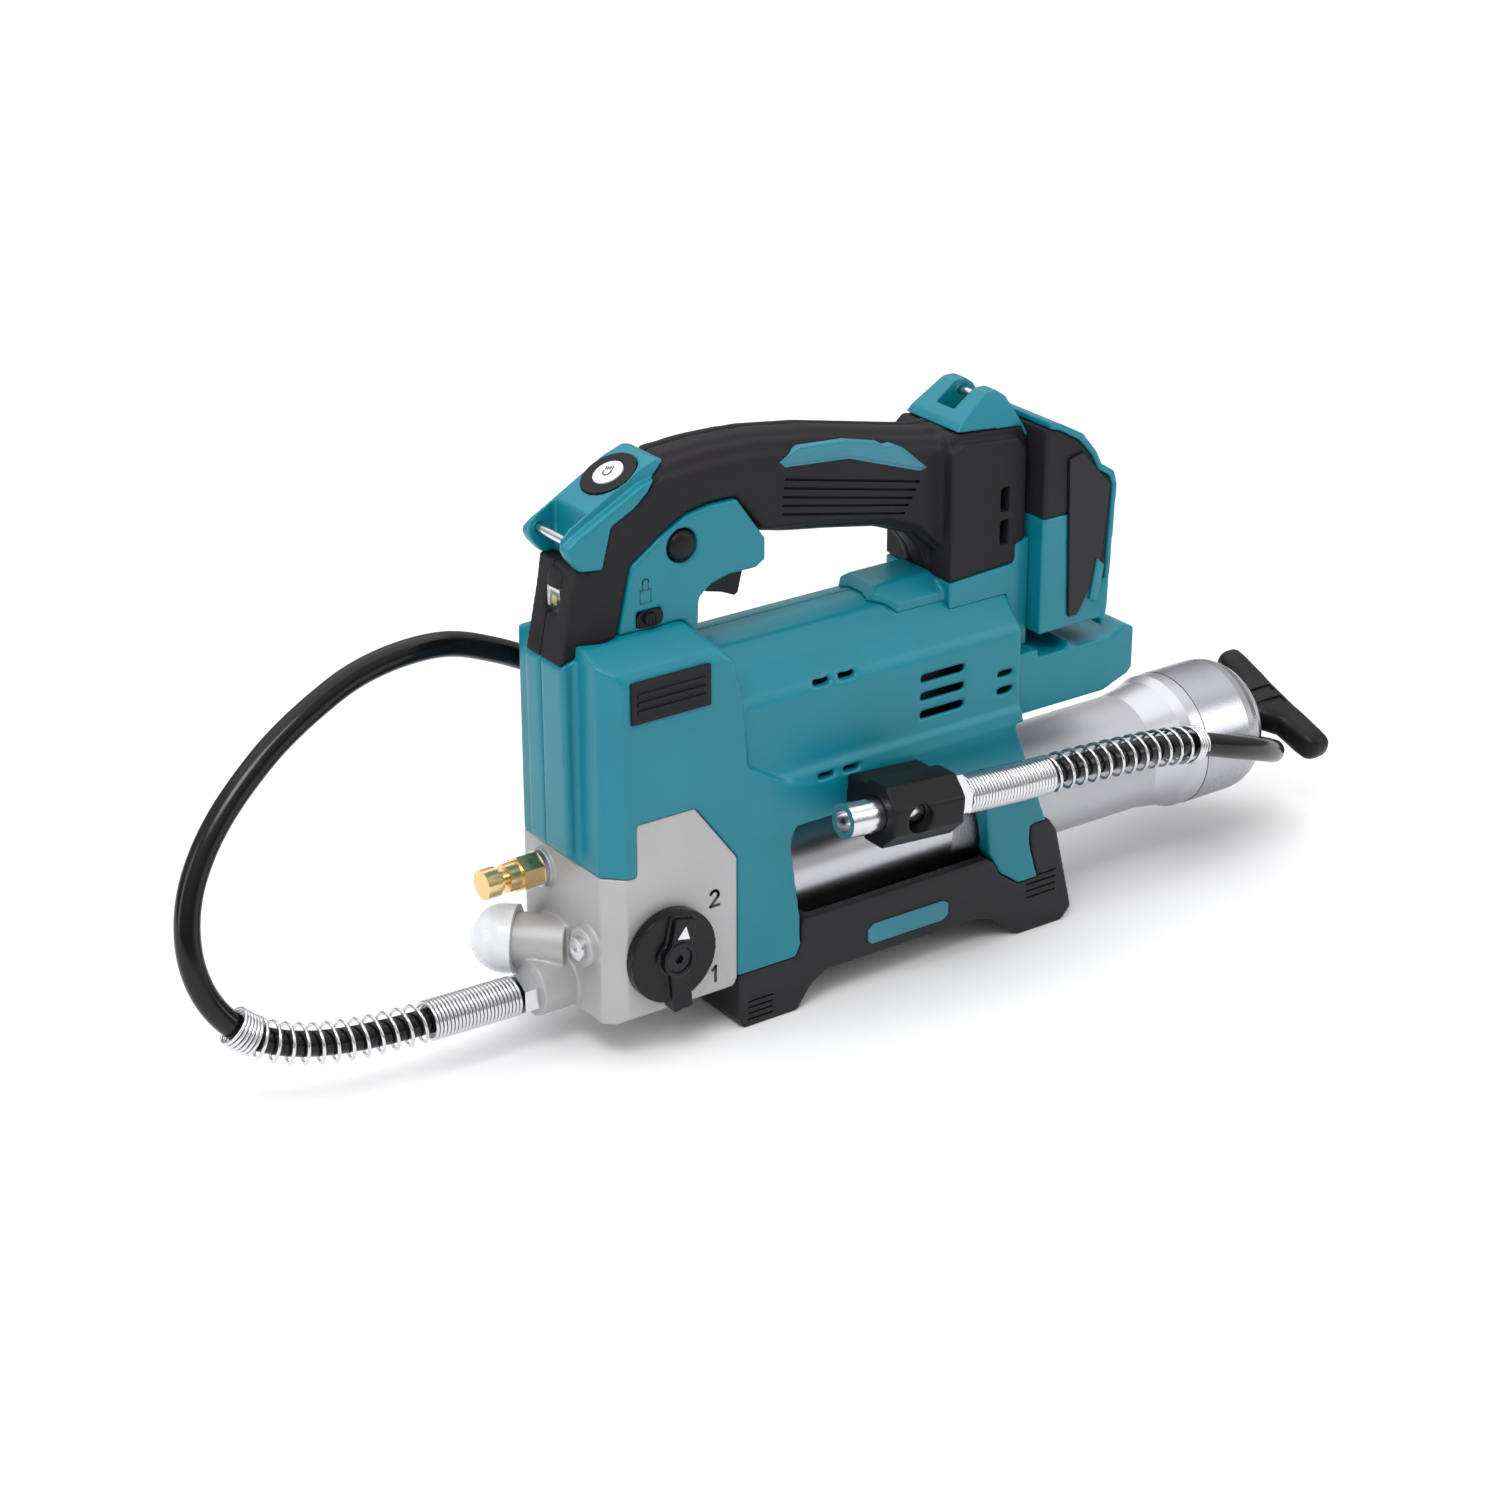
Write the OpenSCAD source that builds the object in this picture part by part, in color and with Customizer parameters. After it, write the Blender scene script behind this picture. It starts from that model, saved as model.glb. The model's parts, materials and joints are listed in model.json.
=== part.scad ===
// Battery grease gun: a cast pump head with a barrel behind it, a plastic body with a bow handle on top,
// a base that it stands on, and a hose with a coupler. +X runs towards the barrel's rear, +Z up.
// The origin is the centre of the front foot's sole.

/* [Barrel] */
// Outer radius of the steel barrel
barrel_r = 28.8; // [28.6:0.1:29.2]
// Wall of the barrel
barrel_wall = 1.6; // [1.2:0.1:2]
// Height of the barrel's axis above the ground
barrel_z = 57; // [56.5:0.5:57.5]
// Position of the joint between collar and end cap
cap_joint_x = 270; // [266:1:274]
// Radius of the end cap
cap_r = 34; // [33:0.5:34.5]
// How far the follower rod pulls out
rod_travel = 215; // [150:5:220]

/* [Body] */
// Half width of the body at its ledge
body_half = 40; // [39:0.5:40.5]
// Half width of the handle bow
bow_half = 17; // [15:0.5:18]
// Half width of the column behind the handle
column_half = 24; // [23:0.5:25]
// Half width of the battery platform and mount
mount_half = 33; // [31:0.5:34]
// Offset of the parting line of the two body halves from the middle
seam_y = 3; // [0:0.5:3]
// Wall thickness of the body halves
wall = 3; // [2.5:0.5:3.5]

/* [Pump] */
// Radius of the eccentric's throw
crank_throw = 6; // [4:0.5:6]
// Radius of the plunger
plunger_r = 4; // [3.5:0.5:4.5]
// Teeth on the motor pinion
pinion_teeth = 10; // [10:1:10]
// Teeth on the crank gear
gear_teeth = 40; // [40:1:40]
// Gear module
gear_module = 1; // [1:0.5:1]

/* [Hose] */
// Outer diameter of the hose
hose_d = 11.6; // [11:0.2:12]
// Outer diameter of the spring guards
guard_d = 18.8; // [18:0.2:20]

/* [Hidden] */
$fn = 64;
eps = 0.02;
clear = 0.3;
shaft_clear = 0.05;
far = 600;

// Places along the body
head_x0 = -86;
head_x1 = -18.5;
cap_x1 = 322;
saddle_r = barrel_r + 2.7;
knob_x = -56.5;
knob_z = 52;
knob_r = 22.2;
outlet_z = 30;
relief_y = 14;
relief_z = 81;
bleed_y = -22;
bleed_z = 57;
port_z = 47.5;
port_x0 = -83;
port_cap_r = 15.8;
motor_z = 125;
crank_z = motor_z + gear_module * (gear_teeth + pinion_teeth) / 2;
gear_x0 = 2;
gear_w = 8;
yoke_x = -34;
coupler_x = 85;
coupler_y = -62;
coupler_z = 98;
coupler_tilt = 4.3;
coupler_r = 8.2;
light_x = -57;
light_z = 264;
light_tilt = -27;

teal = [0.06, 0.50, 0.58];
soft_grey = [0.20, 0.19, 0.20];
black = [0.10, 0.10, 0.10];
cast_grey = [0.74, 0.73, 0.74];
steel = [0.75, 0.75, 0.77];
brass = [0.80, 0.65, 0.32];
white = [0.95, 0.95, 0.95];
copper = [0.75, 0.42, 0.22];
green = [0.10, 0.38, 0.22];

// ---------- helpers ----------

// Outline drawn in the XZ plane, given thickness along Y from y0 to y1
module slab(points, y0, y1)
    translate([0, y1, 0]) rotate([90, 0, 0]) linear_extrude(y1 - y0) polygon(points);

// The same, symmetrical about the middle plane
module wide(points, half) slab(points, -half, half);

// Outline drawn in the YZ plane, given length along X from x0 to x1
module run(points, x0, x1)
    translate([x0, 0, 0]) rotate([90, 0, 90]) linear_extrude(x1 - x0) polygon(points);

// Outline drawn in the XY plane, given height
module plan(points, z0, z1) translate([0, 0, z0]) linear_extrude(z1 - z0) polygon(points);

module xcyl(r, x0, x1, y = 0, z = 0) translate([x0, y, z]) rotate([0, 90, 0]) cylinder(r = r, h = x1 - x0);
module ycyl(r, y0, y1, x = 0, z = 0) translate([x, y1, z]) rotate([90, 0, 0]) cylinder(r = r, h = y1 - y0);
module xcone(ra, rb, x0, x1, y = 0, z = 0)
    translate([x0, y, z]) rotate([0, 90, 0]) cylinder(r1 = ra, r2 = rb, h = x1 - x0);
module xhex(af, x0, x1, y = 0, z = 0)
    translate([x0, y, z]) rotate([0, 90, 0]) cylinder(d = af / cos(30), h = x1 - x0, $fn = 6);
module box(x, y, z) translate([x[0], y[0], z[0]]) cube([x[1] - x[0], y[1] - y[0], z[1] - z[0]]);

function mirror_y(half) = concat(half, [for (i = [len(half) - 1 : -1 : 0]) [-half[i][0], half[i][1]]]);

module left_side() intersection() {
    children();
    box([-far, far], [-far, seam_y], [-far, far]);
}
module right_side() intersection() {
    children();
    box([-far, far], [seam_y, far], [-far, far]);
}

// ---------- free hose route ----------

// A smooth curve through points, with n steps between neighbours
function knot(p, i) = p[max(0, min(len(p) - 1, i))];
function curve_at(p, i, t) = let (a = knot(p, i - 1), b = knot(p, i), c = knot(p, i + 1), d = knot(p, i + 2))
    0.5 * (2 * b + (c - a) * t + (2 * a - 5 * b + 4 * c - d) * t * t + (3 * b - a - 3 * c + d) * t * t * t);
function curve(p, n) = concat([for (i = [0 : len(p) - 2]) for (k = [0 : n - 1]) curve_at(p, i, k / n)],
    [p[len(p) - 1]]);
function unit(v) = v / norm(v);
function way(p, i) = unit(p[min(len(p) - 1, i + 1)] - p[max(0, i - 1)]);
function side_of(t) = unit(cross(t, abs(t[2]) > 0.9 ? [0, 1, 0] : [0, 0, 1]));
// Each ring's side vector is the last one turned as little as possible
function sides(p, i = 0, v = [0, 1, 0]) = i >= len(p) ? []
    : let (t = way(p, i), w = unit(v - (v * t) * t)) concat([w], sides(p, i + 1, w));
function ring(c, t, s, r, n) = let (u = cross(t, s))
    [for (k = [0 : n - 1]) c + r * cos(360 * k / n) * s + r * sin(360 * k / n) * u];

// Triangles between m rings of n points; first is the number of the first point
function skin(m, n, first, inward) = [for (i = [0 : m - 2]) for (k = [0 : n - 1])
    let (a = first + i * n + k, b = first + i * n + (k + 1) % n)
    for (f = [[a, b, b + n], [a, b + n, a + n]]) inward ? [f[2], f[1], f[0]] : f];

module rod_along(p, r, n) {
    s = sides(p);
    m = len(p);
    rings = [for (i = [0 : m - 1]) each ring(p[i], way(p, i), s[i], r, n)];
    polyhedron(rings, concat(skin(m, n, 0, false), [[for (k = [n - 1 : -1 : 0]) k],
        [for (k = [0 : n - 1]) (m - 1) * n + k]]));
}

// A tube with a bore along the same curve
module sleeve_along(p, ra, rb, n) {
    s = sides(p);
    m = len(p);
    outer = [for (i = [0 : m - 1]) each ring(p[i], way(p, i), s[i], ra, n)];
    inner = [for (i = [0 : m - 1]) each ring(p[i], way(p, i), s[i], rb, n)];
    q = m * n;
    e = (m - 1) * n;
    first = [for (k = [0 : n - 1]) let (k1 = (k + 1) % n)
        for (f = [[q + k, q + k1, k1], [q + k, k1, k]]) f];
    last = [for (k = [0 : n - 1]) let (k1 = (k + 1) % n)
        for (f = [[e + k, e + k1, q + e + k1], [e + k, q + e + k1, q + e + k]]) f];
    polyhedron(concat(outer, inner), concat(skin(m, n, 0, false), skin(m, n, q, true), first, last));
}

// The hose's route, from the outlet round to the coupler
hose_route = [[-112.6, 0, 30], [-134, 0, 30.6], [-156, 0, 31.2], [-177, 1, 31.8], [-197.5, 3.1, 33.1],
    [-216.4, 5.8, 36.3], [-232.6, 8.9, 42.4], [-245.3, 12, 52], [-253.8, 15.5, 64.8],
    [-257.9, 19.1, 79.7], [-257.4, 23.1, 95.2], [-252.9, 27, 110.2], [-244.6, 30.7, 124.3],
    [-233.3, 34, 137.5], [-219, 37, 150], [-202, 40, 162], [-182, 42, 173], [-160, 45, 181],
    [-136, 46, 185], [-111, 48, 183], [-87, 49, 174], [-64, 51, 162], [-38, 52, 149], [0, 53, 131],
    [45, 53, 111], [90, 53, 94], [135, 53, 78], [180, 53, 63], [225, 52, 50], [257.8, 51.3, 41.8],
    [283.3, 48, 37], [304.1, 38.7, 34.8], [319.3, 23.2, 35.1], [326.2, 2.3, 38.3], [323, -18.7, 44.4],
    [310.6, -37.4, 53], [290.6, -49.2, 63.3], [266.5, -55.6, 73.3], [240, -58, 82.5], [212, -61, 89],
    [185, -62, 92], [155, -62, 94], [120, -62, 95.4], [90.2, -62, 97.6]];
hose_path = curve(hose_route, 2);
outlet_guard_path = curve([for (i = [0 : 7]) hose_route[i]], 2);
coupler_guard_path = curve([for (i = [38 : 43]) hose_route[i]], 3);

// ---------- outlines of the body ----------

// Side view of the plastic body below the handle
body_outline = [[-96, 93], [-72, 93], [-72, 118], [-41, 118], [head_x1, 88], [head_x1, 28], [14, 28], [17, 34],
    [16, 50], [11, 86], [14, 94], [124, 94], [124, 70], [127, 48], [134, 36], [145, 28], [157, 28], [152, 45],
    [151, 57], [161, 57], [140, 112], [far / 2, 112], [far / 2, 300], [-96, 300]];
// Half section of the long upper body, from its ledge to its crown
body_half_section = [[0, 20], [-body_half, 20], [-body_half, 113], [-body_half + 1.2, 118], [-36.5, 121],
    [-36.5, 156], [-34.5, 160], [-25, 170], [-15, 178.5], [-5, 181], [0, 181]];
body_section = concat(body_half_section, [for (i = [len(body_half_section) - 2 : -1 : 1])
    [-body_half_section[i][0], body_half_section[i][1]]]);
leg_section = [[-body_half, 20], [-body_half, 112], [body_half, 112], [body_half, 20]];
// Section of the taller block in front
front_half_section = [[0, 20], [-body_half, 20], [-body_half, 184], [-37, 189], [-20, 197.5], [0, 197.5]];
front_section = concat(front_half_section, [for (i = [len(front_half_section) - 2 : -1 : 1])
    [-front_half_section[i][0], front_half_section[i][1]]]);
front_plan = [[head_x0, -31], [-77, -body_half], [20, -body_half], [20, body_half], [-77, body_half],
    [head_x0, 31]];
front_side = [[-96, 20], [20, 20], [20, 110], [-12, 130], [-15, 162], [-20, 183], [-33, 198], [-96, 198]];
// Trigger housing between the neck and the bow
guard_outline = [[-67, 150], [-22, 150], [-24, 191], [-23, 206], [-17, 210.5], [-8, 213], [7, 213], [12, 216],
    [12, 226], [-3, 247], [-17, 247], [-29, 245], [-43, 238], [-58, 228], [-65, 197]];
// Soft grip: neck, bow and column in one sweep
grip_outline = [[-93, 188], [-66, 197], [-58.5, 228], [-43, 238.5], [-29, 245.5], [-17, 247.5], [-3, 247.5],
    [12.5, 226], [28, 222], [53, 218], [80, 213], [98, 206], [106, 196], [111, 184], [149, 186], [149, 195],
    [158, 197], [158, 243], [154, 250], [112, 254], [99, 256], [71, 262], [43, 268], [11, 272.5], [-15, 273.5],
    [-37, 272], [-41, 267], [-56, 254], [-68, 248], [-72.5, 229.5], [-84, 231]];
// The same bow, drawn in towards its flanks
grip_flank = [[-93, 188], [-66, 197], [-58.5, 228], [-43, 238.5], [-29, 245.5], [-17, 247.5], [-3, 247.5],
    [12.5, 229], [30, 227], [55, 223.5], [82, 218.5], [100, 211], [112, 199], [150, 199], [150, 244], [112, 247],
    [98, 249], [71, 254], [43, 260], [11, 264.5], [-15, 265.5], [-35, 264], [-42, 264], [-56, 254], [-68, 248],
    [-72.5, 229.5], [-84, 231]];
grip_shoulder = [[-93, 188], [-66, 197], [-58.5, 228], [-43, 238.5], [-29, 245.5], [-17, 247.5], [-3, 247.5],
    [12.5, 227], [29, 224], [54, 220], [81, 215], [99, 208], [111, 197], [150, 197], [150, 248], [112, 251],
    [98, 253], [71, 259], [43, 265], [11, 269.5], [-15, 270.5], [-35, 269], [-42, 266], [-56, 254], [-68, 248],
    [-72.5, 229.5], [-84, 231]];
column_outline = [[111, 184], [149, 186], [149, 195], [158, 197], [158, 243], [154, 250], [115, 253],
    [111, 250]];
column_foot_outline = [[111, 143.05], [158, 143.05], [158, 196.7], [149.3, 194.7], [149.3, 185.7], [111, 183.7]];
platform_outline = [[120, 112], [186, 112], [192, 109], [214, 117], [217, 120], [217, 141], [211, 143],
    [202, 139.5], [182, 139], [176, 143], [120, 143]];
// Hollow inside the body
body_hollow = [[-82, 124], [-44, 124], [-15, 97.5], [142, 97.5], [142, 182], [114, 182],
    [114, 177.5], [-82, 177.5]];
hollow_half = [[0, 90], [-33.5, 90], [-33.5, 154], [-31.5, 158], [-23, 166], [-13, 174], [0, 177.5]];
hollow_section = mirror_y(hollow_half);

module vents() {
    for (side = [-1, 1]) {
        for (x = [26, 40], z = [114.5, 158.5]) box([x, x + 10], ordered(side * 30, side * 45), [z - 1.4, z + 1.4]);
        for (z = [128.5, 137.5, 146.5]) box([86, 112], ordered(side * 30, side * 45), [z - 1.6, z + 1.6]);
        for (z = [129, 137.5]) box([131, 141], ordered(side * 30, side * 45), [z - 1.5, z + 1.5]);
    }
}
function ordered(a, b) = a < b ? [a, b] : [b, a];

module body_solid() {
    intersection() {
        wide(body_outline, 60);
        union() {
            run(body_section, -30, 145);
            run(leg_section, 140, 170);
            intersection() {
                run(front_section, -96, 20);
                plan(front_plan, 0, 300);
                wide(front_side, 60);
            }
            wide(platform_outline, mount_half);
        }
    }
    // Central rib down the front
    wide([[head_x0, 93], [head_x0 - 6, 98.5], [head_x0 - 7, 188.5], [head_x0 + 8, 193], [head_x0 + 8, 93]], 15.5);
}

// Trigger housing between the neck and the bow
module trigger_housing() color(teal) difference() {
    wide(guard_outline, 18);
    body_solid();
    trigger_room();
    // Sockets for the lock button and its slider
    ycyl(7.8, -30, -10, -32, 232);
    box([-56, -43], [-30, -10], [198.7, 206.3]);
}
module trigger_room() {
    wide([[-56, 180], [-27, 180], [-27, 209], [-21, 214.5], [-12, 216], [9, 216], [9, 226], [-4, 243], [-17, 243],
        [-28, 241], [-42, 234.5], [-54.5, 226]], 11);
    wide([[-22, 207], [-17, 206], [12, 206], [12, 220], [-20, 220]], 7.6);
    ycyl(1.55, -13, 13, -16, 215.4);
}

// Foot of the column behind the handle, with a wing in front of it
module column_foot() color(teal) difference() {
    union() {
        wide(column_foot_outline, column_half);
        intersection() {
            wide([[71, 160], [71, 178], [79, 186], [110.9, 186], [110.9, 183.8], [112, 183.8], [112, 160]], 20);
            run([[-20, 150], [-20, 178.5], [-9, 187], [9, 187], [20, 178.5], [20, 150]], 60, 120);
            plan([[71, -9], [84, -20], [112, -20], [112, 20], [84, 20], [71, 9]], 150, 200);
        }
    }
    body_solid();
    body_space();
}

module body_space() {
    intersection() {
        wide(body_hollow, 60);
        run(hollow_section, -82, 142);
    }
    // Front block, above the pump head
    box([-82, -27], [-28, 28], [122, 186]);
    trigger_room();
    // Ways through to the neck and the column
    box([-80, -60], [-10, 10], [180, 198.5]);
    box([116, 146], [-18, 18], [170, 196]);
    xcyl(saddle_r, head_x1 - 1, 260, 0, barrel_z);
    // Pump shaft's way down into the head
    translate([yoke_x, 0, 80]) cylinder(r = plunger_r + 4, h = 60);
    vents();
    // Seats for the rubber pads
    for (side = [-1, 1]) box([-74, -33], ordered(side * (body_half - 1.5), side * 50), [166, 185]);
    // Seats for the housing screws
    for (p = screw_places) ycyl(3.6, body_half - 2.9 - p[2], 60, p[0], p[1]);
}
screw_places = [[-64, 148, 0], [-44, 130, 0], [10, 150, 3.5], [121, 150, 3.5], [2, 104, 0], [100, 104, 0], [-2, 60, 0],
    [142, 62, 0]];

module housing() difference() {
    body_solid();
    body_space();
    battery_gap();
    // Seat of the grip's neck
    intersection() {
        slab([[-94, 187.5], [-66.2, 196.8], [-66.2, 300], [-94, 300]], -18.2, 18.2);
        plan([[-100, -14.2], [-86, -14.2], [-76, -18.2], [-60, -18.2], [-60, 18.2], [-76, 18.2], [-86, 14.2],
            [-100, 14.2]], 100, 300);
    }
    for (p = head_screw_places) translate([p[0], p[1], 110]) cylinder(r = 2.1, h = 14);
}
// Space that the battery mount stands in
module battery_gap() wide([[158, 139], [158, 150], [220, 150], [220, 143.01], [176, 143.01], [176, 139]], 40);

module housing_left() color(teal) left_side() housing();
module housing_right() color(teal) right_side() housing();

module grip() difference() {
    union() {
        wide(grip_outline, bow_half - 9);
        wide(grip_shoulder, bow_half - 4);
        intersection() {
            wide(grip_flank, bow_half);
            plan([[-100, -14], [-86, -14], [-76, -18], [300, -18], [300, 18], [-76, 18], [-86, 14], [-100, 14]],
                100, 300);
        }
        wide(column_outline, column_half - 4);
        wide([[111, 184], [149, 186], [149, 195], [155, 197], [155, 240], [150, 246], [118, 249], [111, 246]],
            column_half);
    }
    // Hollow for the wires
    wide([[-86, 180], [-68, 180], [-67, 200], [-63, 229], [-65, 243], [-76, 226], [-80, 226]], 11);
    wide([[-40, 243.5], [-28, 251], [10, 252], [40, 250], [80, 243], [114, 232], [114, 180], [146, 180],
        [146, 198], [153, 200], [153, 240], [149, 245], [112, 248], [70, 257], [43, 262.5], [11, 267],
        [-15, 268], [-30, 262]], 10);
    // Window of the lamp
    box([-100, -76], [-5, 5], [208, 219.5]);
    // Slots in the column's sides
    for (side = [-1, 1]) for (z = [196, 212])
        box([140.5, 145], ordered(side * 5, side * 40), [z, z + 12]);
    // Hollow for the light switch under the strap lug
    translate([light_x, 0, light_z]) rotate([0, light_tilt, 0]) translate([0, 0, -20]) cylinder(r = 9.5, h = 24);
}

module grip_left() color(soft_grey) left_side() grip();
module grip_right() color(soft_grey) right_side() grip();

// Plastic plates let into both sides of the bow
module handle_inlays() color(teal) for (side = [-1, 1])
    slab([[20, 256], [27, 253], [58, 250], [98, 237], [102, 238], [84, 255], [78, 252], [56, 257], [33, 260],
        [30, 256.5]], side < 0 ? -bow_half - 1 : bow_half, side < 0 ? -bow_half : bow_half + 1);

module side_pads() color(soft_grey) for (side = [-1, 1]) {
    translate([0, side < 0 ? -body_half - 0.8 : body_half - 1.5, 0])
        box([-74, -33], [0, 2.3], [166, 185]);
    for (z = [170, 174, 178])
        translate([0, side < 0 ? -body_half - 1.6 : body_half + 0.8, 0]) box([-71, -36], [0, 0.8], [z, z + 2]);
}

// ---------- strap lugs ----------

lug_outline = [[-91, 243], [-89, 237], [-84, 231.2], [-73, 229.7], [-68.2, 248.2], [-56.2, 254.2],
    [-42.2, 266.2], [-38.4, 271.2], [-42, 272], [-52, 268.5], [-86, 249.5], [-90, 246]];
lug_flank = [[-91, 241], [-89, 237], [-84, 231.2], [-73, 229.7], [-68.2, 248.2], [-56.2, 254.2],
    [-44, 264.6], [-52, 263.5], [-86, 246], [-90, 243]];
module front_strap_lug() color(teal) difference() {
    intersection() {
        union() {
            wide(lug_outline, 13.5);
            wide(lug_flank, 18.5);
        }
        plan([[-92, -17], [-89, -18.5], [-50, -18.5], [-36, -12], [-36, 12], [-50, 18.5], [-89, 18.5], [-92, 17]],
            200, 300);
    }
    // Gap that the strap loops through
    box([-100, -77], [-12, 12], [228, 300]);
    ycyl(2.05, -16, 16, -85.5, 243);
    // Seat of the light button
    translate([light_x, 0, light_z]) rotate([0, light_tilt, 0]) {
        translate([0, 0, -1]) cylinder(r = 13.2, h = 10);
        translate([0, 0, -20]) cylinder(r = 9.5, h = 24);
    }
}
module front_strap_bar() color(steel) ycyl(2, -15.9, 15.9, -85.5, 243);

rear_lug_outline = [[116, 252], [154, 249], [157.3, 243], [158, 246], [147, 265], [142, 268.5], [136, 268.5],
    [120, 257]];
module rear_strap_lug() color(teal) difference() {
    intersection() {
        wide(rear_lug_outline, 20);
        run([[-20, 240], [-20, 251], [-17.5, 262], [-15, 272], [15, 272], [17.5, 262], [20, 251], [20, 240]],
            100, 170);
    }
    wide(column_outline, 30);
    wide(grip_outline, 30);
    box([125, 165], [-6.5, 6.5], [251, 280]);
    ycyl(2.05, -12, 12, 140, 263);
}
module rear_strap_bar() color(steel) ycyl(2, -11.9, 11.9, 140, 263);

// ---------- lamp and light button ----------

module lamp_window() color(white) box([-86.5, -85.3], [-4.9, 4.9], [208.1, 219.4]);
module lamp_board() color(green) {
    box([-84.4, -82.8], [-4.9, 4.9], [208.2, 219.3]);
    box([-85.2, -84.3], [-1.8, 1.8], [211, 216]);
}
module light_frame() translate([light_x, 0, light_z]) rotate([0, light_tilt, 0]) children();
module light_bezel() color(soft_grey) light_frame() difference() {
    translate([0, 0, -0.9]) cylinder(r = 13, h = 2.4);
    translate([0, 0, -2]) cylinder(r = 7.4, h = 5);
}
module light_button() color(white) light_frame() {
    translate([0, 0, -6]) cylinder(r = 7.1, h = 8);
    translate([0, 0, 1.95]) cylinder(r = 5.5, h = 0.25);
}

// ---------- trigger ----------

module trigger() color(black) difference() {
    union() {
        wide([[-21, 210], [-19, 206.3], [-12, 202.6], [-4, 200.6], [3, 197.5], [5, 198.5], [8, 211], [6, 218.5],
            [-16, 219]], 7.2);
        ycyl(3.6, -7.2, 7.2, -16, 215.4);
    }
    ycyl(1.56, -8, 8, -16, 215.4);
    box([-12, 5], [-5.7, 5.7], [206, 225]);
}
module trigger_pin() color(steel) ycyl(1.5, -10.9, 10.9, -16, 215.4);
module trigger_switch() color(black) {
    box([-30, -1], [-7.5, 8], [222.9, 236]);
    box([-9, -5], [-2, 2], [219.6, 223]);
}

module lock_button() color(black) {
    ycyl(7.6, -19.6, -14.5, -32, 232);
    ycyl(3, -14.52, -10.8, -32, 232);
}
module lock_slider() color(black) {
    box([-53, -45.5], [-19.4, -14.8], [199, 206]);
    box([-52, -46.5], [-14.82, -11.6], [200.5, 204.5]);
}

// ---------- pump head ----------

head_side = [[head_x0, 21], [-40, 20], [-22, 20.5], [head_x1, 27], [head_x1, 87.8], [-41, 117.8], [-71.8, 117.8],
    [-71.8, 92.8], [head_x0, 92.8]];
head_plan = [[head_x0, -31], [-77.5, -39.5], [head_x1, -39.5], [head_x1, 39.5], [-77.5, 39.5], [head_x0, 31]];
head_face = [[-31, 18], [-39.5, 24], [-39.5, 130], [39.5, 130], [39.5, 24], [31, 18]];
module branch(r, x0, x1) translate([port_x0, 0, port_z]) rotate([0, 0, 135]) xcyl(r, x0, x1);
module pump_head() color(cast_grey) difference() {
    union() {
        intersection() {
            wide(head_side, 39.5);
            plan(head_plan, 0, 130);
            run(head_face, head_x0, head_x1);
        }
        // Outlet boss, filler branch and bosses of valve and screw
        xcyl(13, -104, head_x0 + 1, 0, outlet_z + 1);
        branch(12.5, 0, 27.5);
        xcyl(9, -91, head_x0 + 1, bleed_y, bleed_z);
        xcyl(9, -88.5, head_x0 + 1, relief_y, relief_z);
        // Neck that the barrel screws over
        xcyl(barrel_r - barrel_wall - 0.3, head_x1 - 1, head_x1 + 14, 0, barrel_z);
    }
    // Grease ways and bores
    xcyl(4.2, -106, yoke_x + 6, 0, outlet_z);
    xcyl(7, -58, head_x1 + 30, 0, barrel_z);
    translate([yoke_x, 0, 22]) cylinder(r = plunger_r + shaft_clear, h = 120);
    branch(6, 2, 40);
    ycyl(5.05, -60, -20, knob_x, knob_z);
    xcyl(4.5, -96, -70, relief_y, relief_z);
    xcyl(3.2, -96, -76, bleed_y, bleed_z);
    xcyl(saddle_r - 5.2, head_x1 + 13.9, head_x1 + 40, 0, barrel_z);
    for (p = head_screw_places) translate([p[0], p[1], 100]) cylinder(r = 2.1, h = 30);
}
head_screw_places = [[-66, -22], [-66, 22], [-50, 22], [-50, -22]];
module head_screws() color(steel) for (p = head_screw_places) translate([p[0], p[1], 102]) {
    cylinder(r = 2.05, h = 20.1);
    translate([0, 0, 20.02]) cylinder(r = 3.8, h = 3);
}

module selector_knob() color(black) {
    difference() {
        union() {
            ycyl(knob_r, -45.5, -39.9, knob_x, knob_z);
            // Arrow bar above the hub and finger lug below it
            translate([knob_x, 0, knob_z]) rotate([0, 12, 0]) box([-5.5, 5.5], [-49.5, -45], [-2, 19]);
            translate([knob_x, 0, knob_z]) rotate([0, -6, 0]) box([-5, 5], [-48.5, -39.9], [-26, -6]);
            ycyl(8.2, -50, -45, knob_x, knob_z);
        }
        ycyl(6.2, -51, -46.5, knob_x, knob_z);
        ycyl(2.6, -60, -30, knob_x, knob_z);
    }
    difference() {
        ycyl(5, -40, -24, knob_x, knob_z);
        ycyl(2.6, -60, -20, knob_x, knob_z);
    }
}
module knob_arrow() color(white) translate([knob_x, 0, knob_z]) rotate([0, 12, 0])
    slab([[-3.2, 10], [3.2, 10], [0, 16]], -49.8, -49.5);
module knob_screw() color(black) difference() {
    union() {
        ycyl(6, -49, -46.6, knob_x, knob_z);
        ycyl(2.5, -46.7, -26, knob_x, knob_z);
    }
    translate([knob_x, -47.2, knob_z]) rotate([90, 0, 0]) cylinder(d = 4 / cos(30), h = 4, $fn = 6);
}

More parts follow.
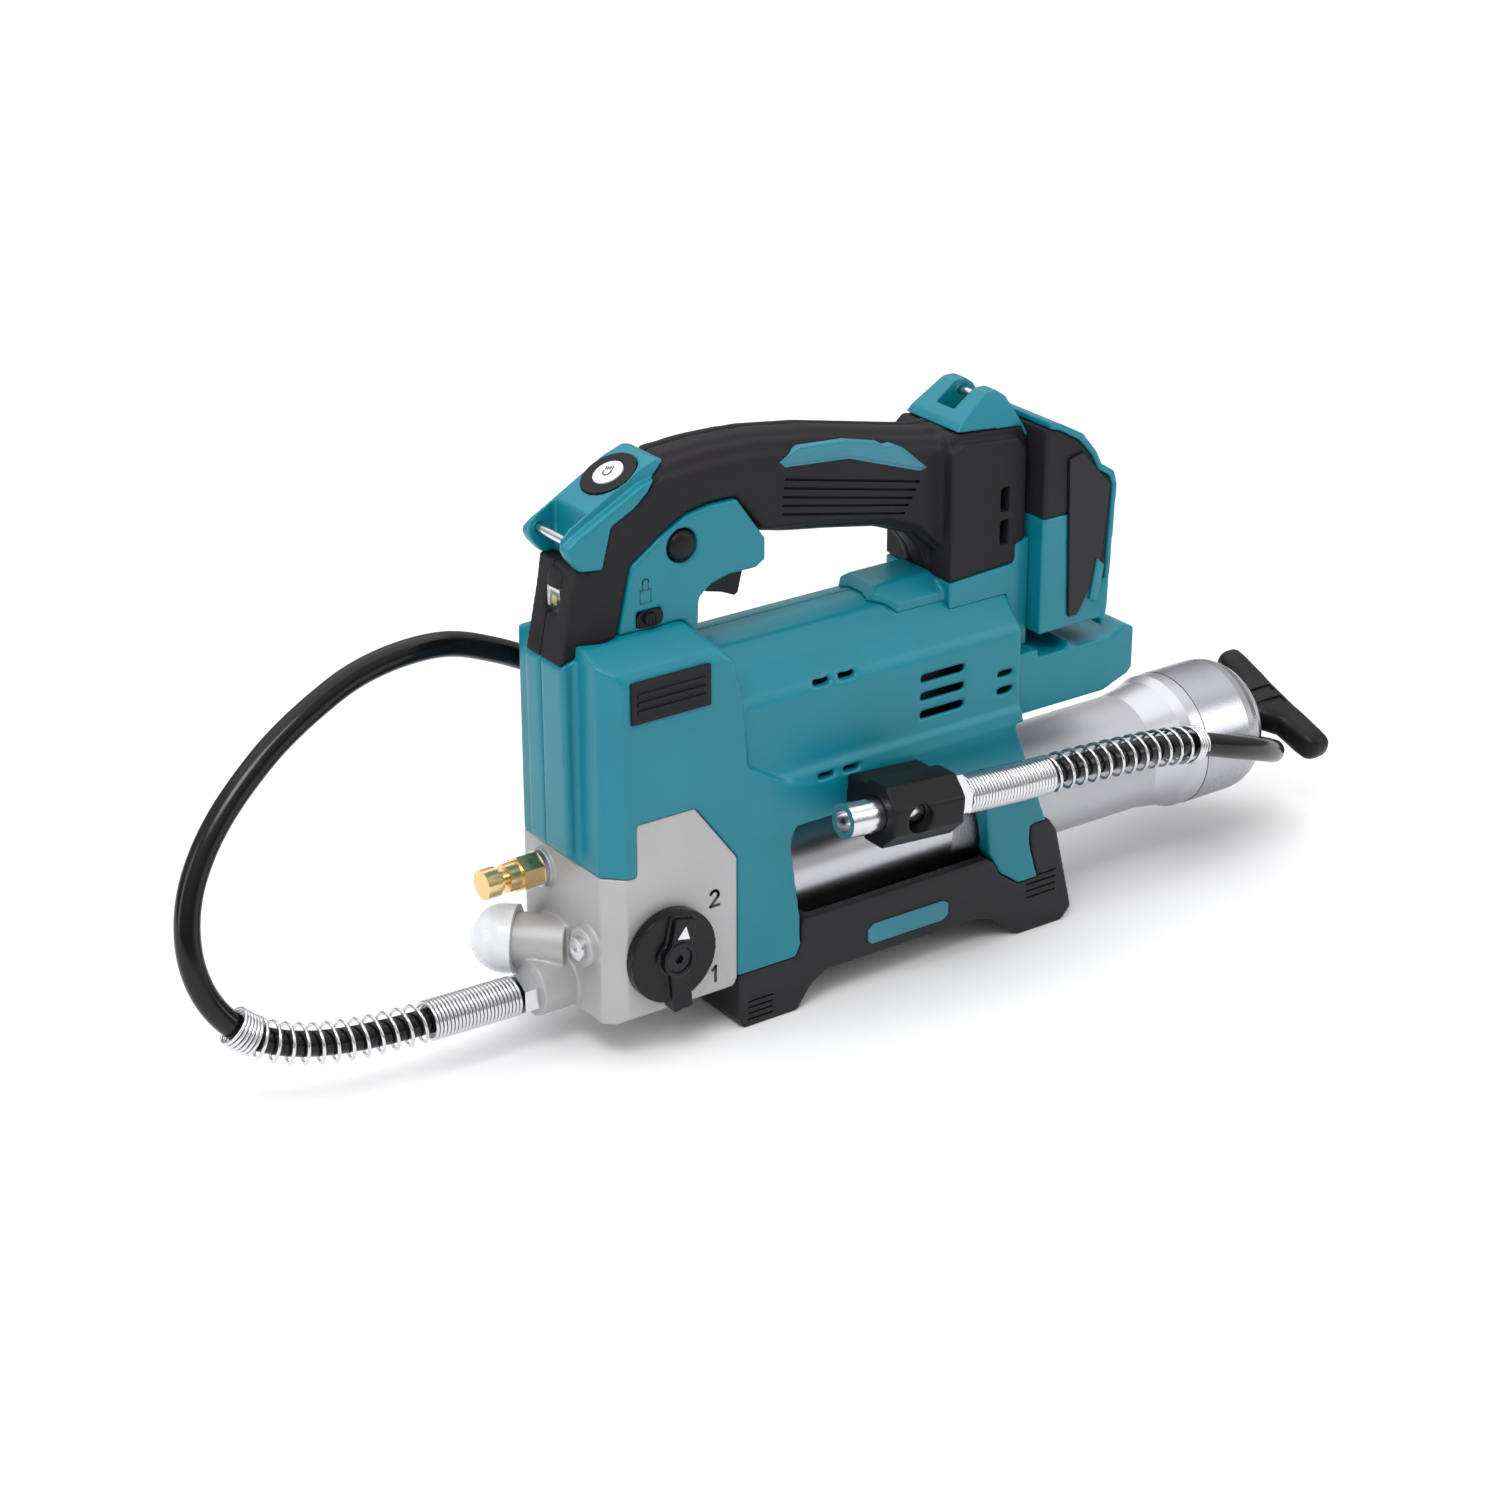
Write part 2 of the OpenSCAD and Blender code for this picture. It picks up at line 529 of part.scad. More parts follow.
module relief_washer() color(steel) difference() {
    xcyl(8.5, -90.5, -88.5, relief_y, relief_z);
    xcyl(4.6, -92, -87, relief_y, relief_z);
}
module relief_body() color(brass) difference() {
    union() {
        xcyl(4.4, -91, -74, relief_y, relief_z);
        xhex(15, -101, -90.5, relief_y, relief_z);
        xcyl(6.6, -107.5, -100.9, relief_y, relief_z);
    }
    xcyl(3.1, -112, -94, relief_y, relief_z);
}
module relief_button() color(brass) {
    xcyl(3.05, -110, -96.5, relief_y, relief_z);
    xcyl(5, -112, -110, relief_y, relief_z);
    xcyl(6.9, -119, -112, relief_y, relief_z);
}
module bleed_screw() color(steel) difference() {
    union() {
        xcyl(5.4, -93.5, -91, bleed_y, bleed_z);
        xcyl(3.1, -91.1, -77, bleed_y, bleed_z);
    }
    xhex(3.4, -95, -92, bleed_y, bleed_z);
}
module port_cap() color(white) translate([port_x0, 0, port_z]) rotate([0, 0, 135]) difference() {
    union() {
        xcyl(port_cap_r, 24, 29.5);
        intersection() {
            translate([29.5, 0, 0]) sphere(r = port_cap_r);
            xcyl(port_cap_r + 1, 29.4, 50);
        }
    }
    xcyl(12.6, 19, 29);
}

// ---------- hose ----------

module outlet_nut() color(steel) difference() {
    union() {
        xhex(17.5, -112, -104, 0, outlet_z);
        xcyl(4.1, -104.1, -90, 0, outlet_z);
    }
    xcyl(2, -113, -89, 0, outlet_z);
}
module hose() color(black) rod_along(hose_path, hose_d / 2, 10);
module outlet_guard() color(steel) sleeve_along(outlet_guard_path, guard_d / 2, hose_d / 2 + 0.6, 16);
module coupler_guard() color(steel) sleeve_along(coupler_guard_path, guard_d / 2, hose_d / 2 + 0.6, 16);
module coupler_frame() translate([coupler_x, coupler_y, coupler_z]) rotate([0, coupler_tilt, 0]) children();
module coupler_nut() color(steel) coupler_frame() difference() {
    xhex(17.5, -2.5, 5);
    xcyl(4, -3, 6);
}
module coupler_body() color(steel) coupler_frame() difference() {
    union() {
        xcyl(coupler_r, -62, -20);
        xcone(coupler_r, 6.5, -20, -14);
        xcyl(6.5, -14, -2.6);
        xcyl(3.95, -2.7, 4.9);
    }
    xcyl(5.2, -63, -55);
    xcyl(2, -56, 6);
}
module coupler_holder() color(black) difference() {
    coupler_frame() difference() {
        union() {
            intersection() {
                translate([-44, 0, 0]) rotate([0, 90, 0]) rotate([0, 0, 22.5]) cylinder(r = 16, h = 40, $fn = 8);
                box([-60, 0], [-17, 60], [-60, 60]);
            }
            box([-44, -4], [4, 30], [-6, 11.5]);
        }
        xcyl(coupler_r + 0.1, -60, 10);
        translate([-29, 0, 0]) ycyl(6.8, -30, 0);
    }
    box([-200, 200], [-body_half - 0.05, 100], [-200, 300]);
}

// ---------- barrel ----------

module around_axis() translate([0, 0, barrel_z]) rotate([0, 90, 0]) rotate_extrude($fn = 96) children();
module barrel_tube() color(steel) around_axis() polygon([[barrel_r - barrel_wall, head_x1 + 0.3],
    [barrel_r, head_x1 + 0.3], [barrel_r, 240], [cap_r - 2.5, 258], [cap_r - 0.3, 263],
    [cap_r - 0.3, cap_joint_x], [cap_r - 2.2, cap_joint_x], [cap_r - 2.2, 263], [barrel_r - barrel_wall, 244]]);
module barrel_seal() color(black) around_axis() polygon([[barrel_r - barrel_wall - 0.15, head_x1 + 15],
    [barrel_r - barrel_wall - 0.15, head_x1 + 18], [barrel_r - 7, head_x1 + 18], [barrel_r - 7, head_x1 + 15]]);
dome_steps = 8;
module end_cap() color(steel) around_axis() polygon(concat(
    [[cap_r - 2.6, cap_joint_x - 6], [cap_r - 2.3, cap_joint_x - 6], [cap_r - 2.3, cap_joint_x + 0.2],
        [cap_r, cap_joint_x + 0.2], [cap_r, 298]],
    [for (i = [1 : dome_steps]) let (a = 90 * i / dome_steps) [cap_r - 24 + 24 * cos(a), 298 + 20 * sin(a)]],
    [[9, 320], [9, cap_x1], [rod_r + shaft_clear, cap_x1], [rod_r + shaft_clear, 315], [cap_r - 25, 315]],
    [for (i = [dome_steps - 1 : -1 : 1]) let (a = 90 * i / dome_steps)
        [cap_r - 26 + 23 * cos(a), 296 + 18 * sin(a)]],
    [[cap_r - 2.6, 296]]));
rod_r = 4;
module follower_rod() color(steel) {
    xcyl(rod_r, 8, 334.9, 0, barrel_z);
    xcyl(6, 4, 8, 0, barrel_z);
}
module follower_piston() color(black) around_axis() polygon([[0, -2], [20, -2],
    [barrel_r - barrel_wall - clear, 6], [barrel_r - barrel_wall - clear, 14], [24, 14], [22, 10], [10, 10],
    [4.3, 10], [4.3, 8.3], [6.3, 8.3], [6.3, 3.7], [0, 3.7]]);
spring_turns = 18;
spring_steps = 10;
spring_x0 = 14;
spring_x1 = 292;
module follower_spring() color(steel) rod_along([for (i = [0 : spring_turns * spring_steps])
    let (a = 360 * i / spring_steps, t = i / (spring_turns * spring_steps))
    [spring_x0 + 1.4 + t * (spring_x1 - spring_x0 - 2.8), 18 * cos(a), barrel_z + 18 * sin(a)]], 1.1, 6);
module t_handle() color(black) difference() {
    union() {
        xcyl(7, 323, 337, 0, barrel_z);
        translate([0, 0, barrel_z]) rotate([20, 0, 0]) {
            slab([[335, -9], [347, -8], [350, 0], [347, 8], [335, 9]], -12, 12);
            for (side = [-1, 1]) hull() {
                translate([341, side * 11, 0]) rotate([90, 0, 0]) cylinder(r = 8.5, h = 1, center = true, $fn = 24);
                translate([345, side * 35, 0]) sphere(r = 6.5, $fn = 24);
            }
        }
    }
    xcyl(rod_r, 300, 335, 0, barrel_z);
}

// ---------- base ----------

base_outline = [[-15, 0], [15, 0], [23, 11], [32, 16], [119, 16], [129, 13], [146, 0], [173, 0], [179, 6],
    [168, 50], [163.2, 56.8], [161, 56.8], [151.2, 56.8], [152.2, 45], [157.2, 27.8], [145, 27.8], [133.8, 35.8],
    [129, 44], [125, 46], [20, 46], [17.2, 44], [17.2, 33.8], [14, 27.8], [-18, 27.8], [-18, 5]];
module base_bracket() color(black) difference() {
    wide(base_outline, body_half);
    xcyl(saddle_r, -40, 220, 0, barrel_z);
    box([24, 128], [-34, 34], [24, 60]);
    for (side = [-1, 1]) slab(inlay_outline, side < 0 ? -60 : body_half - 1, side < 0 ? -body_half + 1 : 60);
}
inlay_outline = [[55, 24], [57, 22], [99, 22], [102, 24.5], [102, 30], [99, 32], [58, 32], [55, 29.5]];
module base_inlays() color(teal) for (side = [-1, 1])
    slab(inlay_outline, side < 0 ? -body_half - 0.4 : body_half - 1, side < 0 ? -body_half + 1 : body_half + 0.4);

// ---------- battery mount ----------

module mount_solid() {
    wide([[158.2, 150.2], [196, 150.2], [199, 216], [197, 221], [190, 225], [186, 233], [178, 242], [166, 249],
        [158.2, 251]], mount_half);
}
rear_plate = [[195.95, 146], [198.5, 146], [202, 216], [200, 223], [192, 228], [188.5, 235], [180, 245], [166, 252.5],
    [160, 254], [160, 250.7], [166, 249.1], [178, 242.1], [186.1, 233.1], [190.1, 225.1], [197.1, 221.1],
    [199.1, 216]];
module battery_mount() color(teal) difference() {
    union() {
        intersection() {
            mount_solid();
            box([150, 178], [-60, 60], [140, 207]);
        }
        intersection() {
            mount_solid();
            box([150, 230], [-60, 60], [140, 170]);
        }
        wide(rear_plate, mount_half + 0.8);
        box([190, 198], [-mount_half, mount_half], [150.3, 152.9]);
    }
    box([164, 250], [-24, 24], [153, 240]);
    slab(hook_outline, -60, -mount_half + 1.5);
    slab(hook_outline, mount_half - 1.5, 60);
}
hook_outline = [[172, 234], [180, 236], [197, 217], [193, 178], [180, 156], [175, 156]];
module battery_cover() color(soft_grey) difference() {
    intersection() {
        mount_solid();
        box([150, 230], [-60, 60], [170.05, 260]);
    }
    box([150, 178.05], [-60, 60], [150, 207.05]);
    box([164, 250], [-24, 24], [153, 240]);
    slab(hook_outline, -60, -mount_half + 1.5);
    slab(hook_outline, mount_half - 1.5, 60);
}
module battery_rails() color(black) for (side = [-1, 1])
    slab(hook_outline, side < 0 ? -mount_half - 1 : mount_half - 1.5, side < 0 ? -mount_half + 1.5 : mount_half + 1);
module terminal_block() color(black) {
    box([165, 172], [-22, 22], [156, 206]);
    for (y = [-15, 0, 15]) box([171.9, 184], [y - 0.5, y + 0.5], [165, 195]);
}

// ---------- motor, gear and plunger ----------

module motor_can() color(steel) difference() {
    union() {
        xcyl(19, 50, 112, 0, motor_z);
        xcyl(7, 46, 50.1, 0, motor_z);
    }
    xcyl(16.5, 53, 109, 0, motor_z);
    xcyl(2.5 + shaft_clear, 40, 120, 0, motor_z);
}
function gear_points(z, m, flank) = [for (i = [0 : z - 1]) for (k = [0 : 3])
    let (pitch = 360 / z, r = m * z / 2, a = pitch * (i + [-flank, -0.12, 0.12, flank][k]),
        rr = r + m * [-1.15, 0.85, 0.85, -1.15][k]) [rr * cos(a), rr * sin(a)]];
module spur(z, x0, x1, zc, turn) translate([x0, 0, zc]) rotate([90, 0, 90]) rotate([0, 0, turn])
    linear_extrude(x1 - x0) polygon(gear_points(z, gear_module, 0.31));
module motor_shaft() color(copper) {
    xcyl(2.5, -2, 118, 0, motor_z);
    xcyl(15.8, 62, 100, 0, motor_z);
    spur(pinion_teeth, gear_x0, gear_x0 + gear_w, motor_z, 90);
    xcyl(6, 44 - 6, 44, 0, motor_z);
}
module crank_gear() color(steel) {
    spur(gear_teeth, gear_x0, gear_x0 + gear_w, crank_z, 270 + 180 / gear_teeth);
    xcyl(5, -24, 14, 0, crank_z);
    xcyl(9.5, -28, -24, 0, crank_z);
    translate([0, crank_throw, 0]) xcyl(3, -40, -27.9, 0, crank_z);
}
module crank_bearing() color(steel) {
    difference() {
        xcyl(10, -20, -12, 0, crank_z);
        xcyl(5 + shaft_clear, -30, 0, 0, crank_z);
    }
    for (side = [-1, 1]) box([-20, -12], ordered(side * 9.5, side * 33.4), [crank_z - 4, crank_z + 4]);
}
module plunger() color(steel) {
    difference() {
        box([-39, -30], [-13.5, 13.5], [crank_z - 19, crank_z + 19]);
        box([-50, -20], [-9.6, 9.6], [crank_z - 15.6, crank_z + 15.6]);
    }
    translate([yoke_x, 0, 66]) cylinder(r = plunger_r, h = crank_z - 18.9 - 66);
}
module check_ball() color(steel) translate([-60, 0, outlet_z]) sphere(r = 3.6);

module control_board() color(green) {
    box([66, 112], [-18, 18], [168, 169.6]);
    for (x = [72, 84, 96]) box([x, x + 8], [-12, -4], [162, 168.01]);
}
module housing_screws() color(steel) for (p = screw_places) difference() {
    ycyl(3.4, body_half - 2.8 - p[2], body_half - 0.6 - p[2], p[0], p[1]);
    ycyl(1.4, body_half - 1.8 - p[2], body_half, p[0], p[1]);
}

housing_left();
housing_right();
trigger_housing();
column_foot();
grip_left();
grip_right();
handle_inlays();
side_pads();
front_strap_lug();
front_strap_bar();
rear_strap_lug();
rear_strap_bar();
lamp_window();
lamp_board();
light_button();
light_bezel();
trigger();
trigger_pin();
trigger_switch();
lock_button();
lock_slider();
pump_head();
head_screws();
selector_knob();
knob_screw();
knob_arrow();
relief_washer();
relief_body();
relief_button();
bleed_screw();
port_cap();
outlet_nut();
outlet_guard();
hose();
coupler_guard();
coupler_nut();
coupler_body();
coupler_holder();
barrel_tube();
barrel_seal();
end_cap();
follower_rod();
follower_piston();
follower_spring();
t_handle();
base_bracket();
base_inlays();
battery_mount();
battery_cover();
battery_rails();
terminal_block();
motor_can();
motor_shaft();
crank_gear();
crank_bearing();
plunger();
check_ball();
control_board();
housing_screws();
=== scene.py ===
"""Looks of the grease gun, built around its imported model.

Lengths are in millimetres until MM turns them to metres.
"""
import json
import math

import numpy as np

import bmesh
import bpy
from mathutils import Matrix, Vector

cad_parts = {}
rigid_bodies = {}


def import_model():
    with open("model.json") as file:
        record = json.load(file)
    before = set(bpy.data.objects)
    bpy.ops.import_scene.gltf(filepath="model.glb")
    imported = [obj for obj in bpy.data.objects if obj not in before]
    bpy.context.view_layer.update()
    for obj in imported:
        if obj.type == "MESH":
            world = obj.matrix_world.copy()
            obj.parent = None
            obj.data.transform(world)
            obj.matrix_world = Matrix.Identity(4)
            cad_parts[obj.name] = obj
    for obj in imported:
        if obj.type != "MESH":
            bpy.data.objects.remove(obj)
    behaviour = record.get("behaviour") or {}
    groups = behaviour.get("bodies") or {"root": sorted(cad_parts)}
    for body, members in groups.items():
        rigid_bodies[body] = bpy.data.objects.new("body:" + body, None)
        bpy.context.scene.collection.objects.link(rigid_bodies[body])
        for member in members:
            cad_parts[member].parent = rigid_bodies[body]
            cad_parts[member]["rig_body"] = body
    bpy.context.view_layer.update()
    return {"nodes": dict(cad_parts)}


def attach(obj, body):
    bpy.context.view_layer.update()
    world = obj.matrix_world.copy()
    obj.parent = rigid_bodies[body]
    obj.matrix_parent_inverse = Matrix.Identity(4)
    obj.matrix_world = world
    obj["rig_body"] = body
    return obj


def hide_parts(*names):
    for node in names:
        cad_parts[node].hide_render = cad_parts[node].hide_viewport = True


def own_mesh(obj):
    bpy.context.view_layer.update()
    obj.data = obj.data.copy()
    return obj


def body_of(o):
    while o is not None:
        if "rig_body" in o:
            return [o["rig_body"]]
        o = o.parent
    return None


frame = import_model()
NODES = frame["nodes"]
MM = 0.001
BARREL_Z = 57

# ---------- camera, world and lights ----------

CAMERA_AT = (-799.1, -1151.7, 753.6)
AZIMUTH = 35.3
ELEVATION = 24.3
FOCAL = 81.6
SENSOR = 36.0


def add_camera():
    data = bpy.data.cameras.new("camera")
    data.lens = FOCAL
    data.sensor_width = SENSOR
    data.clip_end = 20
    camera = bpy.data.objects.new("camera", data)
    bpy.context.collection.objects.link(camera)
    az, el = math.radians(AZIMUTH), math.radians(ELEVATION)
    forward = Vector((math.sin(az) * math.cos(el), math.cos(az) * math.cos(el), -math.sin(el)))
    camera.location = Vector(CAMERA_AT) * MM
    camera.rotation_euler = forward.to_track_quat("-Z", "Y").to_euler()
    bpy.context.scene.camera = camera


def add_area(name, place, target, size, power):
    data = bpy.data.lights.new(name, "AREA")
    data.shape = "RECTANGLE"
    data.size, data.size_y = size
    data.energy = power
    lamp = bpy.data.objects.new(name, data)
    bpy.context.collection.objects.link(lamp)
    lamp.location = place
    aim = Vector(target) - Vector(place)
    lamp.rotation_euler = aim.to_track_quat("-Z", "Y").to_euler()


def add_world(horizon, above):
    """A white surrounding, dim at the horizon and bright above."""
    world = bpy.data.worlds.new("studio")
    world.use_nodes = True
    tree = world.node_tree
    split = tree.nodes.new("ShaderNodeSeparateXYZ")
    tree.links.new(tree.nodes.new("ShaderNodeTexCoord").outputs["Generated"], split.inputs[0])
    spread = tree.nodes.new("ShaderNodeMapRange")
    for name, value in (("From Min", 0.0), ("From Max", 0.65), ("To Min", horizon), ("To Max", above)):
        spread.inputs[name].default_value = value
    tree.links.new(split.outputs["Z"], spread.inputs["Value"])
    background = tree.nodes["Background"]
    background.inputs["Color"].default_value = (1, 1, 1, 1)
    tree.links.new(spread.outputs["Result"], background.inputs["Strength"])
    bpy.context.scene.world = world


def add_studio():
    add_world(0.18, 0.95)
    centre = (0.04, 0, 0.1)
    add_area("key", (-1.0, -0.9, 1.9), centre, (0.9, 0.7), 20)
    add_area("side", (1.5, -1.3, 0.9), centre, (0.5, 1.3), 7)
    add_area("top", (0.3, 1.2, 3.2), (0.3, 1.2, 0), (5.0, 5.0), 70)
    add_area("front", (-1.9, 0.3, 0.7), centre, (0.5, 1.3), 7)
    bpy.context.scene.view_settings.view_transform = "Standard"


# ---------- materials ----------

def new_material(name):
    material = bpy.data.materials.new(name)
    material.use_nodes = True
    tree = material.node_tree
    return material, tree, tree.nodes["Principled BSDF"]


def noise(tree, scale, stretch=None):
    coords = tree.nodes.new("ShaderNodeTexCoord")
    texture = tree.nodes.new("ShaderNodeTexNoise")
    texture.inputs["Scale"].default_value = scale
    texture.inputs["Detail"].default_value = 4
    source = coords.outputs["Object"]
    if stretch:
        mapping = tree.nodes.new("ShaderNodeMapping")
        mapping.inputs["Scale"].default_value = stretch
        tree.links.new(source, mapping.inputs["Vector"])
        source = mapping.outputs["Vector"]
    tree.links.new(source, texture.inputs["Vector"])
    return texture.outputs["Fac"]


def ramp(tree, value, low, high):
    spread = tree.nodes.new("ShaderNodeMapRange")
    spread.inputs["From Min"].default_value = 0.3
    spread.inputs["From Max"].default_value = 0.7
    spread.inputs["To Min"].default_value = low
    spread.inputs["To Max"].default_value = high
    tree.links.new(value, spread.inputs["Value"])
    return spread.outputs["Result"]


def tint(tree, value, colour, change):
    """Colour that goes from darker to lighter by change, as value goes from 0.3 to 0.7."""
    mix = tree.nodes.new("ShaderNodeMix")
    mix.data_type = "RGBA"
    mix.inputs["A"].default_value = (*[c * (1 - change) for c in colour], 1)
    mix.inputs["B"].default_value = (*[min(1, c * (1 + change)) for c in colour], 1)
    tree.links.new(ramp(tree, value, 0, 1), mix.inputs["Factor"])
    return mix.outputs["Result"]


def bump(tree, height, distance, below=None):
    node = tree.nodes.new("ShaderNodeBump")
    node.inputs["Strength"].default_value = 1
    node.inputs["Distance"].default_value = distance * MM
    tree.links.new(height, node.inputs["Height"])
    if below:
        tree.links.new(below, node.inputs["Normal"])
    return node.outputs["Normal"]


MOTTLE_SCALE = 28


def finish_of(name, colour, rough, metal=0.0, mottle=0.05, grain=900, depth=0.02, coat=0.0, stretch=None,
              specular=0.5, spread=0.05):
    """A surface with slight colour and roughness changes, and a fine grain of that many waves per metre."""
    material, tree, shader = new_material(name)
    broad = noise(tree, MOTTLE_SCALE)
    fine = noise(tree, grain, stretch)
    tree.links.new(tint(tree, broad, colour, mottle), shader.inputs["Base Color"])
    tree.links.new(ramp(tree, fine, rough - spread, rough + spread), shader.inputs["Roughness"])
    tree.links.new(bump(tree, fine, depth), shader.inputs["Normal"])
    shader.inputs["Metallic"].default_value = metal
    shader.inputs["Coat Weight"].default_value = coat
    shader.inputs["Specular IOR Level"].default_value = specular
    material.diffuse_color = (*colour, 1)
    return material


TEAL = finish_of("teal_plastic", (0.001, 0.170, 0.228), 0.34, grain=1600, depth=0.006, specular=0.38)
TEAL_PLATE = finish_of("teal_plate", (0.02, 0.18, 0.25), 0.5, grain=1500, depth=0.02)
SOFT_GREY = finish_of("soft_overmould", (0.012, 0.0105, 0.0125), 0.6, grain=1400, depth=0.03, mottle=0.1,
                      specular=0.2)
BASE_BLACK = finish_of("base_plastic", (0.013, 0.012, 0.014), 0.46, grain=1500, depth=0.02, specular=0.25)
BLACK = finish_of("black_plastic", (0.007, 0.007, 0.008), 0.38, grain=1800, depth=0.015, specular=0.18)
KNOB = finish_of("knob_gloss", (0.004, 0.004, 0.005), 0.24, grain=500, depth=0.002, specular=0.25)
CASTING = finish_of("sand_casting", (0.40, 0.395, 0.40), 0.5, metal=0.4, grain=1500, depth=0.05, mottle=0.05)
ZINC = finish_of("zinc_plate", (0.66, 0.66, 0.68), 0.2, metal=1.0, grain=600, depth=0.003)
STEEL = finish_of("machined_steel", (0.56, 0.56, 0.58), 0.3, metal=1.0, grain=700, depth=0.003,
                  stretch=(1, 8, 8))
BARREL = finish_of("barrel_steel", (0.50, 0.50, 0.535), 0.3, metal=1.0, grain=900, depth=0.0003,
                   stretch=(1, 3, 3), mottle=0.02, spread=0.012)
CAP_STEEL = finish_of("cap_steel", (0.40, 0.40, 0.44), 0.28, metal=1.0, grain=900, depth=0.0003, mottle=0.03,
                      spread=0.015)
BRASS = finish_of("brass", (0.75, 0.55, 0.26), 0.24, metal=1.0, grain=300, depth=0.001, mottle=0.03)
DARK_STEEL = finish_of("black_oxide", (0.03, 0.03, 0.032), 0.4, metal=0.9, grain=900, depth=0.008)
HOSE_RUBBER = finish_of("hose_cover", (0.004, 0.0035, 0.004), 0.17, grain=120, depth=0.02, mottle=0.1,
                        specular=0.28)
RUBBER = finish_of("seal_rubber", (0.012, 0.012, 0.013), 0.6)
WHITE_PLASTIC = finish_of("white_plastic", (0.68, 0.70, 0.73), 0.25, grain=900, depth=0.004, mottle=0.02)
LENS = finish_of("lamp_lens", (0.95, 0.96, 0.97), 0.05, grain=900, depth=0.001, mottle=0.0)
LENS.node_tree.nodes["Principled BSDF"].inputs["Transmission Weight"].default_value = 1.0
CIRCUIT = finish_of("circuit", (0.02, 0.12, 0.05), 0.35)
COPPER = finish_of("copper", (0.6, 0.3, 0.15), 0.35, metal=1.0)
WHITE_PRINT = finish_of("white_print", (0.7, 0.71, 0.72), 0.45, mottle=0.02)
DARK_PRINT = finish_of("dark_print", (0.016, 0.018, 0.02), 0.5)
# Teal darkened as painted shade, for the depths of the column's slots and the lines of the moulded padlock
# mark.
SHADED_TEAL = finish_of("teal_painted_shade", (0.003, 0.09, 0.12), 0.5)
LED = finish_of("lamp_chip", (0.75, 0.62, 0.12), 0.35)


def knurl_barrel(axis_height, starts, ends, count, lead):
    """Adds fine diamond knurling to the barrel's finish between two distances along it."""
    tree = BARREL.node_tree
    shader = tree.nodes["Principled BSDF"]
    below = shader.inputs["Normal"].links[0].from_socket
    split = tree.nodes.new("ShaderNodeSeparateXYZ")
    tree.links.new(tree.nodes.new("ShaderNodeTexCoord").outputs["Object"], split.inputs[0])

    def sums(kind, a, b):
        node = tree.nodes.new("ShaderNodeMath")
        node.operation = kind
        for socket, value in zip(node.inputs, (a, b)):
            if isinstance(value, (int, float)):
                socket.default_value = value
            else:
                tree.links.new(value, socket)
        return node.outputs[0]

    angle = sums("ARCTAN2", split.outputs["Y"], sums("SUBTRACT", split.outputs["Z"], axis_height))
    turn = sums("MULTIPLY", angle, count)
    run = sums("MULTIPLY", split.outputs["X"], lead)
    one_way = sums("SINE", sums("ADD", turn, run), 0)
    other_way = sums("SINE", sums("SUBTRACT", turn, run), 0)
    inside = sums("MULTIPLY", sums("GREATER_THAN", split.outputs["X"], starts),
                  sums("LESS_THAN", split.outputs["X"], ends))
    height = sums("MULTIPLY", sums("MULTIPLY", one_way, other_way), inside)
    tree.links.new(bump(tree, height, KNURL_DEPTH, below=below), shader.inputs["Normal"])


KNURL_DEPTH = 0.09
knurl_barrel(BARREL_Z * MM, starts=0.113, ends=0.24, count=110, lead=3800)

NODE_FINISH = {
    TEAL: ["housing_left", "housing_right", "trigger_housing", "column_foot", "front_strap_lug",
           "rear_strap_lug", "battery_mount"],
    TEAL_PLATE: ["handle_inlays", "base_inlays"],
    SOFT_GREY: ["grip_left", "grip_right", "side_pads", "battery_cover", "light_bezel"],
    BASE_BLACK: ["base_bracket", "battery_rails"],
    BLACK: ["trigger", "trigger_switch", "lock_button", "lock_slider", "t_handle", "coupler_holder",
            "terminal_block"],
    KNOB: ["selector_knob"],
    LENS: ["lamp_window"],
    WHITE_PRINT: ["knob_arrow", "light_button"],
    CIRCUIT: ["lamp_board", "control_board"],
    CASTING: ["pump_head"],
    ZINC: ["outlet_guard", "coupler_guard", "coupler_nut", "coupler_body", "outlet_nut", "bleed_screw",
           "front_strap_bar", "rear_strap_bar"],
    DARK_STEEL: ["knob_screw"],
    BRASS: ["relief_body", "relief_button"],
    STEEL: ["relief_washer", "head_screws", "trigger_pin", "motor_can", "crank_gear", "crank_bearing",
            "plunger", "check_ball", "housing_screws", "follower_rod", "follower_spring"],
    COPPER: ["motor_shaft"],
    BARREL: ["barrel_tube"],
    CAP_STEEL: ["end_cap"],
    WHITE_PLASTIC: ["port_cap"],
    RUBBER: ["barrel_seal", "follower_piston"],
    HOSE_RUBBER: ["hose"],
}


def paint(obj, material):
    obj.data.materials.clear()
    obj.data.materials.append(material)


def paint_nodes():
    for material, names in NODE_FINISH.items():
        for name in names:
            paint(NODES[name], material)


# ---------- mesh work ----------

def plain(name, verts, faces):
    """A closed mesh object from points in millimetres."""
    mesh = bpy.data.meshes.new(name)
    mesh.from_pydata([Vector(v) * MM for v in verts], [], faces)
    obj = bpy.data.objects.new(name, mesh)
    bpy.context.collection.objects.link(obj)
    bm = bmesh.new()
    bm.from_mesh(mesh)
    bmesh.ops.recalc_face_normals(bm, faces=bm.faces)
    bm.to_mesh(mesh)
    bm.free()
    return obj


def loft(name, rings):
    """A closed skin over rings of equally many points."""
    count = len(rings[0])
    faces = [tuple(range(count)), tuple(range(len(rings) * count - 1, (len(rings) - 1) * count - 1, -1))]
    for k in range(len(rings) - 1):
        for i in range(count):
            j = (i + 1) % count
            faces.append((k * count + i, (k + 1) * count + i, (k + 1) * count + j, k * count + j))
    return plain(name, [p for ring in rings for p in ring], faces)


def span(side, inner, outer):
    """The y values of two distances from the middle plane, on side -1 or 1, lowest first."""
    return sorted((side * inner, side * outer))


def side_prism(name, outline, y0, y1):
    """An outline in x and z, drawn out from y0 to y1."""
    return loft(name, [[(x, y, z) for x, z in outline] for y in (y0, y1)])


